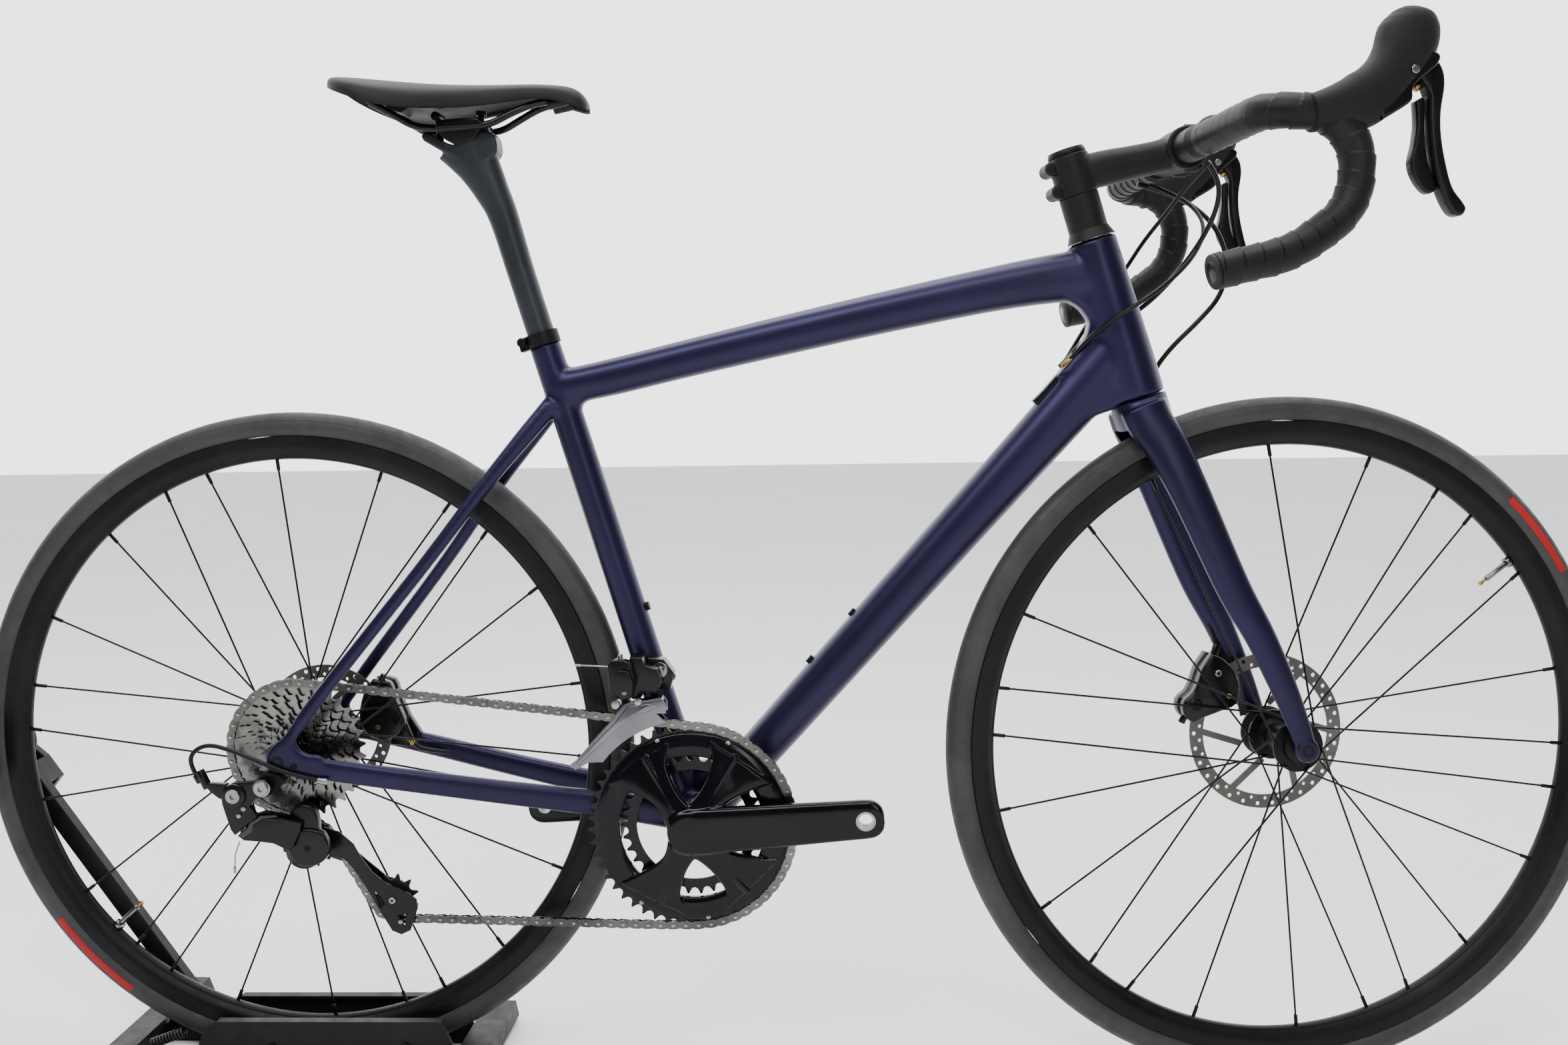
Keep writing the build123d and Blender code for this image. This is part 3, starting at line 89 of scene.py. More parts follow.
def mm(x, y, z):
    """Point in metres from millimetres."""
    return Vector((x, y, z)) * MM


def joint_place(name):
    """(x, z) of a joint's axis, in millimetres."""
    place = JOINTS[name]["pos_m"]
    return place[0] / MM, place[2] / MM


GUIDE = joint_place("guide_pulley_spin")
TENSION = joint_place("tension_pulley_spin")


def up_steerer(station):
    """Point on the steering axis, station millimetres up from the steering joint's place."""
    return STEER_POINT / MM + STEER_AXIS * station


def linked(name, data):
    """New object of a mesh, curve, light or camera, in the scene."""
    obj = bpy.data.objects.new(name, data)
    bpy.context.scene.collection.objects.link(obj)
    return obj


# ---------------------------------------------------------------- camera
CAMERA_PLACE = mm(583.6, -1446.35, 720.2)
CAMERA_YAW = 0.0601
CAMERA_PITCH = -0.1082
CAMERA_ROLL = 0.0174
camera_data = bpy.data.cameras.new("camera")
camera_data.lens = 33.6
camera_data.sensor_width = 36.0
camera_data.clip_start = 0.05
camera_data.clip_end = 50.0
camera = linked("camera", camera_data)
bpy.context.scene.camera = camera
camera.matrix_world = (
    Matrix.Translation(CAMERA_PLACE)
    @ Matrix.Rotation(CAMERA_YAW, 4, "Z")
    @ Matrix.Rotation(CAMERA_PITCH, 4, "X")
    @ Matrix.Rotation(CAMERA_ROLL, 4, "Y")
    @ Matrix.Rotation(math.radians(90), 4, "X")
)


# ---------------------------------------------------------------- materials
def material(name, color, metallic=0.0, roughness=0.5, coat=0.0, coat_roughness=0.1, specular=0.5,
             sheen=0.0):
    """Principled material and its node tree's handles."""
    made = bpy.data.materials.new(name)
    made.use_nodes = True
    shader = made.node_tree.nodes["Principled BSDF"]
    shader.inputs["Base Color"].default_value = (*color, 1.0)
    shader.inputs["Metallic"].default_value = metallic
    shader.inputs["Roughness"].default_value = roughness
    shader.inputs["Coat Weight"].default_value = coat
    shader.inputs["Coat Roughness"].default_value = coat_roughness
    shader.inputs["Specular IOR Level"].default_value = specular
    shader.inputs["Sheen Weight"].default_value = sheen
    return made


def noise(made, scale, detail=4.0, stretch=(1, 1, 1)):
    """Noise over the object's own coordinates."""
    tree = made.node_tree
    coords = tree.nodes.new("ShaderNodeTexCoord")
    mapping = tree.nodes.new("ShaderNodeMapping")
    mapping.inputs["Scale"].default_value = stretch
    texture = tree.nodes.new("ShaderNodeTexNoise")
    texture.inputs["Scale"].default_value = scale
    texture.inputs["Detail"].default_value = detail
    tree.links.new(coords.outputs["Object"], mapping.inputs["Vector"])
    tree.links.new(mapping.outputs["Vector"], texture.inputs["Vector"])
    return texture.outputs["Fac"]


def vary_color(made, source, dark, light, low=0.35, high=0.65):
    """Base colour that drifts between two shades with a texture."""
    tree = made.node_tree
    ramp = tree.nodes.new("ShaderNodeValToRGB")
    ramp.color_ramp.elements[0].position = low
    ramp.color_ramp.elements[1].position = high
    ramp.color_ramp.elements[0].color = (*dark, 1.0)
    ramp.color_ramp.elements[1].color = (*light, 1.0)
    tree.links.new(source, ramp.inputs["Fac"])
    tree.links.new(ramp.outputs["Color"], tree.nodes["Principled BSDF"].inputs["Base Color"])


def vary_roughness(made, source, low, high):
    """Roughness between two values with a texture."""
    tree = made.node_tree
    ranged = tree.nodes.new("ShaderNodeMapRange")
    ranged.inputs["From Min"].default_value = 0.3
    ranged.inputs["From Max"].default_value = 0.7
    ranged.inputs["To Min"].default_value = low
    ranged.inputs["To Max"].default_value = high
    tree.links.new(source, ranged.inputs["Value"])
    tree.links.new(ranged.outputs["Result"], tree.nodes["Principled BSDF"].inputs["Roughness"])


def add_bump(made, source, strength, distance):
    """Bump on top of any bump the material already has."""
    tree = made.node_tree
    bump = tree.nodes.new("ShaderNodeBump")
    bump.inputs["Strength"].default_value = strength
    bump.inputs["Distance"].default_value = distance
    normal = tree.nodes["Principled BSDF"].inputs["Normal"]
    if normal.is_linked:
        tree.links.new(normal.links[0].from_socket, bump.inputs["Normal"])
    tree.links.new(source, bump.inputs["Height"])
    tree.links.new(bump.outputs["Normal"], normal)


def finish_material(name, dark, light, metallic, rough_low, rough_high, grain, bump=0.05, coat=0.0,
                    coat_roughness=0.1, stretch=(1, 1, 1), specular=0.16, sheen=0.0):
    """A finish with broad colour drift, uneven gloss and a fine grain of the given scale."""
    made = material(name, light, metallic, rough_low, coat, coat_roughness, specular, sheen)
    vary_color(made, noise(made, 9.0), dark, light)
    vary_roughness(made, noise(made, 60.0, 6.0, stretch), rough_low, rough_high)
    add_bump(made, noise(made, grain, 3.0, stretch), bump, 0.0004)
    return made


def frame_paint():
    """Deep violet-blue satin paint with a fine metallic flake."""
    made = material("frame_paint", (0.010, 0.009, 0.042), 0.7, 0.36, coat=0.12, coat_roughness=0.32,
                    specular=0.3)
    vary_color(made, noise(made, 5.0, 2.0), (0.0090, 0.0072, 0.028), (0.0135, 0.0108, 0.042))
    vary_roughness(made, noise(made, 2600.0, 2.0), 0.33, 0.46)
    add_bump(made, noise(made, 3800.0, 2.0), 0.06, 0.0002)
    return made


def tyre_rubber():
    """Black tyre rubber with a fine grain."""
    made = material("tyre_rubber", (0.018, 0.018, 0.019), 0.0, 0.62, specular=0.4)
    vary_color(made, noise(made, 14.0), (0.014, 0.014, 0.015), (0.026, 0.025, 0.026))
    vary_roughness(made, noise(made, 90.0, 5.0), 0.52, 0.72)
    add_bump(made, noise(made, 900.0, 3.0), 0.12, 0.0003)
    return made


def weave(name, dark, light, scale, roughness, bump):
    """Moulded rubber or cover with a small regular relief of dots."""
    made = material(name, light, 0.0, roughness, specular=0.16)
    vary_color(made, noise(made, 12.0), dark, light)
    tree = made.node_tree
    coords = tree.nodes.new("ShaderNodeTexCoord")
    cells = tree.nodes.new("ShaderNodeTexVoronoi")
    cells.inputs["Scale"].default_value = scale
    cells.inputs["Randomness"].default_value = 0.25
    tree.links.new(coords.outputs["Object"], cells.inputs["Vector"])
    add_bump(made, cells.outputs["Distance"], bump, 0.0005)
    add_bump(made, noise(made, 1400.0, 2.0), 0.05, 0.0002)
    return made


PAINT = frame_paint()
TYRE = tyre_rubber()
LABEL_RED = finish_material("label_red", (0.25, 0.008, 0.010), (0.34, 0.012, 0.014), 0.0, 0.5, 0.62, 700.0)
RIM_BLACK = finish_material("rim_black", (0.004, 0.004, 0.005), (0.008, 0.008, 0.009), 0.3, 0.36, 0.5, 500.0)
ANODISED = finish_material("anodised_black", (0.004, 0.004, 0.005), (0.008, 0.008, 0.009), 0.4, 0.33, 0.5,
                           900.0)
STEM_BLACK = finish_material("stem_black", (0.005, 0.005, 0.005), (0.009, 0.009, 0.008), 0.1, 0.42, 0.55,
                             1500.0, 0.1)
POST_BLACK = finish_material("post_black", (0.013, 0.015, 0.018), (0.022, 0.024, 0.029), 0.2, 0.34, 0.46,
                             900.0,
                             coat=0.1, coat_roughness=0.35)
CRANK_BLACK = finish_material("crank_black", (0.002, 0.002, 0.003), (0.004, 0.004, 0.006), 0.3, 0.14, 0.24,
                              300.0,
                              0.02, coat=0.12, coat_roughness=0.08)
GLOSS_BLACK = finish_material("gloss_black", (0.002, 0.002, 0.0022), (0.005, 0.005, 0.0055), 0.1, 0.2, 0.34,
                              300.0,
                              0.03, coat=0.12)
LEVER_BLACK = finish_material("lever_black", (0.003, 0.003, 0.003), (0.006, 0.006, 0.006), 0.2, 0.24, 0.38,
                              500.0,
                              0.03, coat=0.12, coat_roughness=0.2)
SPOKE_BLACK = finish_material("spoke_black", (0.004, 0.004, 0.004), (0.008, 0.008, 0.008), 0.4, 0.3, 0.42,
                              900.0)
STEEL = finish_material("steel", (0.20, 0.20, 0.21), (0.34, 0.34, 0.35), 1.0, 0.2, 0.36, 700.0)
COG_STEEL = finish_material("cog_steel", (0.065, 0.064, 0.062), (0.21, 0.205, 0.195), 1.0, 0.16, 0.36, 420.0,
                            0.16)
CHAIN_STEEL = finish_material("chain_steel", (0.06, 0.058, 0.055), (0.145, 0.14, 0.13), 1.0, 0.22, 0.38,
                              520.0, 0.1)
ROTOR_STEEL = finish_material("rotor_steel", (0.075, 0.073, 0.068), (0.12, 0.115, 0.108), 0.9, 0.34, 0.5,
                              900.0, 0.1)
POLISHED = finish_material("polished_alloy", (0.09, 0.09, 0.10), (0.19, 0.19, 0.21), 1.0, 0.12, 0.24, 400.0,
                           0.05)
BRASS = finish_material("brass", (0.26, 0.16, 0.05), (0.38, 0.24, 0.085), 1.0, 0.22, 0.35, 500.0)
HOUSING = finish_material("housing", (0.003, 0.003, 0.003), (0.006, 0.006, 0.006), 0.0, 0.28, 0.42, 900.0,
                          0.04)
PLASTIC = finish_material("black_plastic", (0.005, 0.005, 0.005), (0.010, 0.010, 0.010), 0.0, 0.42, 0.58,
                          1200.0, 0.1)
POWDER = finish_material("powder_coat", (0.005, 0.005, 0.005), (0.009, 0.009, 0.0088), 0.05, 0.4, 0.56,
                         1300.0, 0.2)
SPRING = finish_material("spring_wire", (0.04, 0.04, 0.043), (0.08, 0.08, 0.085), 1.0, 0.3, 0.45, 600.0)
ACCENT_GREY = finish_material("accent_grey", (0.035, 0.035, 0.036), (0.06, 0.06, 0.061), 0.4, 0.3, 0.42,
                              500.0)
TAPE = weave("bar_tape_cover", (0.0045, 0.0043, 0.0040), (0.0095, 0.0090, 0.0082), 900.0, 0.46, 0.25)
HOOD_RUBBER = weave("hood_rubber", (0.0055, 0.0052, 0.0045), (0.0100, 0.0093, 0.0082), 620.0, 0.6, 0.3)
SADDLE_COVER = weave("saddle_cover", (0.0065, 0.0061, 0.0056), (0.0125, 0.0117, 0.0107), 1500.0, 0.54, 0.12)


# ---------------------------------------------------------------- mesh helpers
def mesh_object(name, verts, faces, mat, smooth=True):
    """New object in the scene from points in millimetres."""
    mesh = bpy.data.meshes.new(name)
    mesh.from_pydata([(v[0] * MM, v[1] * MM, v[2] * MM) for v in verts], [], faces)
    mesh.materials.append(mat)
    obj = linked(name, mesh)
    work = bmesh.new()
    work.from_mesh(mesh)
    bmesh.ops.recalc_face_normals(work, faces=work.faces)
    work.to_mesh(mesh)
    work.free()
    if smooth:
        mesh.shade_smooth()
    return obj


def shade_by_angle(obj, degrees=35.0):
    """Smooth shading that keeps edges sharper than the given angle."""
    mesh = obj.data
    mesh.shade_smooth()
    work = bmesh.new()
    work.from_mesh(mesh)
    limit = math.radians(degrees)
    for edge in work.edges:
        edge.smooth = len(edge.link_faces) == 2 and edge.calc_face_angle(0.0) < limit
    work.to_mesh(mesh)
    work.free()
    return obj


def smooth_line(points, steps):
    """Points of a smooth line that passes through the given points (any number of values each)."""
    ends = [points[0]] + list(points) + [points[-1]]
    line = []
    for p0, p1, p2, p3 in zip(ends, ends[1:], ends[2:], ends[3:]):
        for i in range(steps):
            t = i / steps
            line.append(tuple(
                0.5 * (2 * b + (c - a) * t + (2 * a - 5 * b + 4 * c - d) * t * t + (3 * b - a - 3 * c + d) * t**3)
                for a, b, c, d in zip(p0, p1, p2, p3)
            ))
    line.append(tuple(points[-1]))
    return line


def rings_to_mesh(name, rings, mat, closed_ends=True):
    """Skin over a list of rings, each with the same number of points."""
    count = len(rings[0])
    verts = [point for ring in rings for point in ring]
    faces = []
    for r in range(len(rings) - 1):
        for i in range(count):
            a, b = r * count + i, r * count + (i + 1) % count
            faces.append((a, b, b + count, a + count))
    if closed_ends:
        faces.append(tuple(reversed(range(count))))
        last = (len(rings) - 1) * count
        faces.append(tuple(range(last, last + count)))
    return mesh_object(name, verts, faces, mat)


def loft(name, stations, mat, power=2.0, steps=8, segments=48):
    """Tube through stations (x, y, z, width across, height), with superellipse sections."""
    line = smooth_line(stations, steps)
    rings = []
    for i, (x, y, z, width, height) in enumerate(line):
        before, after = line[max(i - 1, 0)], line[min(i + 1, len(line) - 1)]
        along = (Vector(after[:3]) - Vector(before[:3])).normalized()
        side = Vector((0, 1, 0))
        side = (side - along * side.dot(along)).normalized()
        up = side.cross(along).normalized()
        ring = []
        for k in range(segments):
            angle = 2 * math.pi * k / segments
            c, s = math.cos(angle), math.sin(angle)
            a = math.copysign(abs(c) ** (2 / power), c) * width / 2
            b = math.copysign(abs(s) ** (2 / power), s) * height / 2
            ring.append(Vector((x, y, z)) + side * a + up * b)
        rings.append(ring)
    return rings_to_mesh(name, rings, mat)


def lathe(name, profile, centre, mat, axis=(0, 1, 0), segments=96, angle=35.0):
    """Solid turned about an axis through centre, from a closed profile of (radius, station along the axis)."""
    along = Vector(axis).normalized()
    side = along.orthogonal().normalized()
    other = along.cross(side)
    origin = Vector(centre)
    rings = []
    for k in range(segments):
        turn = 2 * math.pi * k / segments
        outward = side * math.cos(turn) + other * math.sin(turn)
        rings.append([origin + outward * r + along * a for r, a in profile])
    count = len(profile)
    verts = [point for ring in rings for point in ring]
    faces = []
    for r in range(segments):
        nxt = (r + 1) % segments
        for i in range(count):
            j = (i + 1) % count
            faces.append((r * count + i, r * count + j, nxt * count + j, nxt * count + i))
    obj = mesh_object(name, verts, faces, mat)
    work = bmesh.new()
    work.from_mesh(obj.data)
    bmesh.ops.remove_doubles(work, verts=work.verts, dist=1e-6)
    bmesh.ops.dissolve_degenerate(work, edges=work.edges, dist=1e-7)
    work.to_mesh(obj.data)
    work.free()
    return shade_by_angle(obj, angle)


def plate(name, outline, y_from, y_to, mat, bevel=1.5, smooth_outline=0, holes=()):
    """Plate across the bicycle with an (x, z) outline and softly rounded edges."""
    if smooth_outline:
        closed = list(outline) + [outline[0]]
        outline = smooth_line(closed, smooth_outline)[:-1]
    work = bmesh.new()
    loops = []
    for loop in (outline, *holes):
        ring = [work.verts.new(Vector((x, y_from, z)) * MM) for x, z in loop]
        loops += [work.edges.new((a, b)) for a, b in zip(ring, ring[1:] + ring[:1])]
    if holes:
        bmesh.ops.triangle_fill(work, use_beauty=True, edges=loops)
    else:
        work.faces.new(ring)
    moved = bmesh.ops.extrude_face_region(work, geom=work.faces[:])
    top = [v for v in moved["geom"] if isinstance(v, bmesh.types.BMVert)]
    bmesh.ops.translate(work, verts=top, vec=Vector((0, (y_to - y_from) * MM, 0)))
    bmesh.ops.recalc_face_normals(work, faces=work.faces)
    if bevel:
        edges = [e for e in work.edges if len(e.link_faces) == 2
                 and sum(abs(f.normal.y) > 0.9 for f in e.link_faces) == 1]
        bmesh.ops.bevel(work, geom=edges, offset=bevel * MM, segments=4, profile=0.5, affect="EDGES",
                        clamp_overlap=True)
    mesh = bpy.data.meshes.new(name)
    work.to_mesh(mesh)
    work.free()
    mesh.materials.append(mat)
    return shade_by_angle(linked(name, mesh), 32.0)


def rod(name, start, end, radius, mat, segments=24, rounded=0.0):
    """Round bar between two points, its end edges rounded."""
    a, b = Vector(start), Vector(end)
    length = (b - a).length
    edge = min(rounded, radius * 0.9, length / 2)
    profile = [(0, 0), (radius - edge, 0)]
    if edge:
        profile += [(radius - edge * 0.3, edge * 0.3), (radius, edge), (radius, length - edge),
                    (radius - edge * 0.3, length - edge * 0.3)]
    else:
        profile += [(radius, 0), (radius, length)]
    profile += [(radius - edge, length), (0, length)]
    return lathe(name, profile, a, mat, b - a, segments)


def join_objects(name, objects):
    """One object from several, keeping each one's material."""
    work = bmesh.new()
    mats = []
    for obj in objects:
        for mat in obj.data.materials:
            if mat not in mats:
                mats.append(mat)
    for obj in objects:
        mesh = obj.data
        mesh.transform(obj.matrix_world)
        start = len(work.faces)
        work.from_mesh(mesh)
        work.faces.ensure_lookup_table()
        for face in work.faces[start:]:
            face.material_index = mats.index(mesh.materials[face.material_index])
    made = bpy.data.meshes.new(name)
    work.to_mesh(made)
    work.free()
    for mat in mats:
        made.materials.append(mat)
    result = linked(name, made)
    for obj in objects:
        bpy.data.objects.remove(obj)
    return result


def apply_modifiers(obj):
    """Replace the object's mesh with its evaluated one."""
    graph = bpy.context.evaluated_depsgraph_get()
    mesh = bpy.data.meshes.new_from_object(obj.evaluated_get(graph))
    obj.modifiers.clear()
    obj.data = mesh
    return obj


def repaint(obj, *mats):
    """Give an object these materials in place of its own."""
    obj.data.materials.clear()
    for mat in mats:
        obj.data.materials.append(mat)


def cast_as_one(name, objects, mat, voxel, smoothing, joints=(), joint_smoothing=40):
    """Fuse overlapping solids into one moulded skin, blended more at joints, each (x, y, z, reach)."""
    obj = join_objects(name, objects)
    remesh = obj.modifiers.new("fuse", "REMESH")
    remesh.mode = "VOXEL"
    remesh.voxel_size = voxel * MM
    apply_modifiers(obj)
    if joints:
        group = obj.vertex_groups.new(name="joints")
        for vertex in obj.data.vertices:
            place = vertex.co / MM
            share = max(1 - (place - Vector(j[:3])).length / j[3] for j in joints)
            if share > 0:
                group.add([vertex.index], min(1.0, share * 2), "REPLACE")
        blend = obj.modifiers.new("blend", "SMOOTH")
        blend.vertex_group = "joints"
        blend.factor = 0.5
        blend.iterations = joint_smoothing
    even = obj.modifiers.new("even", "SMOOTH")
    even.factor = 0.5
    even.iterations = smoothing
    apply_modifiers(obj)
    obj.vertex_groups.clear()
    repaint(obj, mat)
    obj.data.shade_smooth()
    return obj


def drill(obj, tool):
    """Cut a tool's shape out of an object and delete the tool."""
    mats = list(obj.data.materials)
    hole = obj.modifiers.new("hole", "BOOLEAN")
    hole.object = tool
    hole.operation = "DIFFERENCE"
    hole.solver = "EXACT"
    bpy.context.view_layer.update()
    apply_modifiers(obj)
    bpy.data.objects.remove(tool)
    repaint(obj, *mats)
    shade_by_angle(obj, 50.0)


def hose(name, points, radius, mat):
    """Smooth hose through a NURBS line, as a mesh. Points are in millimetres."""
    curve = bpy.data.curves.new(name, "CURVE")
    curve.dimensions = "3D"
    curve.bevel_depth = radius * MM
    curve.bevel_resolution = 6
    curve.use_fill_caps = True
    curve.resolution_u = 14
    spline = curve.splines.new("NURBS")
    spline.points.add(len(points) - 1)
    for point, place in zip(spline.points, points):
        point.co = (place[0] * MM, place[1] * MM, place[2] * MM, 1.0)
    spline.order_u = 3
    spline.use_endpoint_u = True
    maker = linked(name + "_line", curve)
    graph = bpy.context.evaluated_depsgraph_get()
    mesh = bpy.data.meshes.new_from_object(maker.evaluated_get(graph))
    bpy.data.objects.remove(maker)
    mesh.materials.clear()
    mesh.materials.append(mat)
    mesh.shade_smooth()
    return linked(name, mesh)


def screw(name, centre, axis, head_r, head_h, mat, hexagon=0.0, washer=0.0, washer_mat=None):
    """Screw head with a hexagon socket, and a washer under it if one is asked for."""
    along = Vector(axis).normalized()
    side = along.orthogonal().normalized()
    other = along.cross(side)
    origin = Vector(centre)
    socket = hexagon or head_r * 0.5
    rounding = min(0.5, head_r * 0.15)
    rounds = [2 * math.pi * k / 24 for k in range(24)]
    rings = []
    for radius, height in ((head_r, 0.0), (head_r, head_h - rounding), (head_r - rounding, head_h)):
        rings.append([origin + (side * math.cos(a) + other * math.sin(a)) * radius + along * height
                      for a in rounds])
    for height in (head_h, head_h * 0.35):
        ring = []
        for a in rounds:
            flat = math.cos(math.radians(30)) / math.cos((a % math.radians(60)) - math.radians(30))
            ring.append(origin + (side * math.cos(a) + other * math.sin(a)) * socket * flat + along * height)
        rings.append(ring)
    pieces = [shade_by_angle(rings_to_mesh(name, rings, mat), 30.0)]
    if washer:
        pieces.append(rod(name + "_washer", origin - along * 0.9, origin + along * 0.1, washer,
                          washer_mat or mat,
                          32, 0.3))
    return join_objects(name, pieces) if len(pieces) > 1 else pieces[0]


def front(obj):
    """Turn a straight-ahead piece of the front end to the parked steering angle."""
    obj.data.transform(STEER)
    return obj


def keep(node, mat):
    """A CAD node that stays, with its finish."""
    repaint(frame["nodes"][node], mat)


def finish(obj, body, slot, *nodes):
    """Attach a finished piece to a body and hide the CAD nodes it stands for."""
    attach(obj, body)
    if nodes:
        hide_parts(*nodes)
    return obj


# ---------------------------------------------------------------- bicycle frame
def seat_line(z):
    """Point on the seat tube's centre line at height z."""
    return BB[0] - (z - BB[1]) / math.tan(HEAD_ANGLE), 0.0, z


def head_station(station, radius):
    """Loft station round the steering axis."""
    place = up_steerer(station)
    return place.x, place.y, place.z, 2 * radius, 2 * radius


def build_frame():
    """One moulded shell from the head tube to the dropouts."""
    head = loft("head", [head_station(s, r) for s, r in ((368.9, 27), (420, 26.4), (470, 25),
                                                         (527.5, 23.4))], PAINT)
    top = loft("top", [
        (272, 0, 699, 33, 36), (330, 0, 710.2, 34, 36.4), (400, 0, 726, 36, 36.7), (500, 0, 747.8, 38, 38.6),
        (600, 0, 768.6, 40, 40.3), (700, 0, 787.8, 41, 42.8), (760, 0, 797, 42, 47), (806, 0, 801, 42, 52),
    ], PAINT, 2.25)
    down = loft("down", [
        (406, 0, 262, 44, 40), (500, 0, 367, 47, 43.1), (600, 0, 478.2, 48, 46), (700, 0, 589.4, 49, 48.9),
        (760, 0, 656.1, 49, 51.5), (826, 0, 729, 46, 56),
    ], PAINT, 2.2)
    seat = loft("seat", [(*seat_line(z), w, w) for z, w in ((264, 40), (330, 34), (450, 31.6), (690, 31.6),
                                                            (743, 31.0))],
                PAINT)
    shell = rod("shell", (BB[0], -34, BB[1]), (BB[0], 34, BB[1]), 24.2, PAINT, 64, 1.5)
    head_top = plate("head_top", [(752, 792), (772, 777), (786, 768), (794, 757), (799, 742), (825, 742),
                                  (822, 795)],
                     -17, 17, PAINT, 5)
    head_low = plate("head_low", [(752, 622), (780, 648), (800, 664), (824, 672), (836, 700), (770, 690)],
                     -18, 18, PAINT, 5)
    crotch = plate("crotch", [(762, 702), (783, 727), (792, 742), (796, 760), (820, 760), (820, 700)], -17,
                   17, PAINT, 5)
    cluster = plate("cluster", [(284, 664), (293, 679), (304, 688), (334, 694), (334, 706), (280, 700)], -12,
                    12, PAINT, 4)
    bottom = plate("bottom", [(398, 300), (404, 318), (440, 318), (446, 300), (425, 285)], -17, 17, PAINT, 5)
    pieces = [head, top, down, seat, shell, head_top, head_low, crotch, cluster, bottom]
    for sign in (1, -1):
        pieces.append(loft(f"chainstay_{sign}", [
            (6, sign * 75, 339, 8, 20), (34, sign * 74.4, 334, 8.6, 21), (62, sign * 72, 329, 11, 22),
            (120, sign * 63, 318.5, 14, 23), (211, sign * 46.5, 301.5, 15, 24),
            (290, sign * 33.5, 288, 15, 26),
            (345, sign * 28, 279, 17, 29), (396, sign * 20, 269, 21, 34),
        ], PAINT, 2.4))
        pieces.append(loft(f"seatstay_{sign}", [
            (-1, sign * 75, 346, 8, 14), (20, sign * 73, 374, 9, 13.5), (44, sign * 68, 406, 11, 13.5),
            (139, sign * 50, 522, 12, 13.5), (209, sign * 30, 612, 13, 15), (270, sign * 11, 685, 16, 20),
        ], PAINT, 2.2))
        pieces.append(plate(f"dropout_{sign}", [
            (-13, 336), (-12, 348), (-4, 358), (8, 366), (16, 370), (20, 356), (30, 348), (44, 345),
            (44, 324),
            (12, 326), (0, 327), (-9, 329),
        ], sign * 71, sign * 79, PAINT, 1.2, 3))
    shell_joints = [
        (822, 0, 720, 100), (800, 0, 785, 70), (282, 0, 700, 60), (403, 0, 275, 58), (8, 75, 345, 42),
        (8, -75, 345, 42),
    ]
    body = cast_as_one("frame_shell", pieces, PAINT, 1.7, 6, shell_joints, 36)
    finish(body, "frame", "frame_paint", "head_tube", "top_tube", "down_tube", "seat_tube", "bb_shell",
           "chainstays",
           "seatstays")


def build_fork():
    """Moulded fork with its crown and two blades."""
    pieces = []
    for sign in (1, -1):
        pieces.append(loft(f"blade_{sign}", [
            (842, sign * 20, 672, 28, 46), (848, sign * 24, 656, 26, 45), (861, sign * 33, 632, 24, 42),
            (880, sign * 41.5, 590, 20, 38), (919, sign * 48.5, 500, 18, 33.5),
            (945.6, sign * 52, 450, 17, 29.5),
            (968, sign * 54.5, 400, 14, 26), (983, sign * 55.2, 362, 10.5, 22),
            (990, sign * 55.2, 341, 10, 19),
        ], PAINT, 2.2))
        pieces.append(rod(f"tip_{sign}", (990, sign * 50.1, 340), (990, sign * 60.3, 340), 11.5, PAINT, 48,
                          1.5))
    crown_top = up_steerer(368.3)
    crown = loft("crown", [
        (crown_top.x, 0, crown_top.z, 53.6, 53.6), (crown_top.x + 3.5, 0, crown_top.z - 12, 60, 53),
        (crown_top.x + 8, 0, crown_top.z - 26, 72, 50), (crown_top.x + 12, 0, crown_top.z - 38, 78, 44),
    ], PAINT, 2.3)
    pieces.append(crown)
    wheel_room = lathe("wheel_room", [(0, -21), (TYRE_R + 9, -21), (TYRE_R + 9, 21), (0, 21)],
                       (WHEELBASE, 0, HUB_Z), PAINT, segments=160)
    fork = cast_as_one("fork_shell", pieces, PAINT, 1.5, 4, [(846, 0, 660, 60)], 14)
    drill(fork, wheel_room)
    finish(front(fork), "front_end", "frame_paint", "fork")


def build_frame_details():
    """Cable port, screws, bearings and other small parts on the frame."""
    port = plate("cable_port", [(741, 680), (752, 691), (768, 709), (779, 719), (778, 708), (762, 690),
                                (748, 676)],
                 -9, 9, GLOSS_BLACK, 2.0, 3)
    finish(port, "frame", "black_plastic")
    ferrules = [rod(f"port_ferrule_{i}", (770 + dx, y, 711.5 + dx), (781 + dx, y, 723 + dx), 3.3, mat, 24,
                    0.6)
                for i, (y, dx, mat) in enumerate(((-10, 0, BRASS), (3, 1, HOUSING), (12, 0, HOUSING)))]
    finish(join_objects("port_ferrules", ferrules), "frame", "steel")
    for node in ("bottle_screws", "frame_bearings", "seat_collar", "rear_thru_axle", "derailleur_hanger"):
        keep(node, ANODISED)
    collar = seat_line(748)
    bolt = screw("collar_bolt", (collar[0] - 19, -12.6, 745), (0, -1, 0), 4.2, 1.6, ANODISED, 2.0)
    finish(bolt, "frame", "black_alloy")
    finish(screw("dropout_screws", (16, -79, 335.7), (0, -1, 0), 3.4, 1.2, ANODISED, 1.6), "frame",
           "black_alloy")


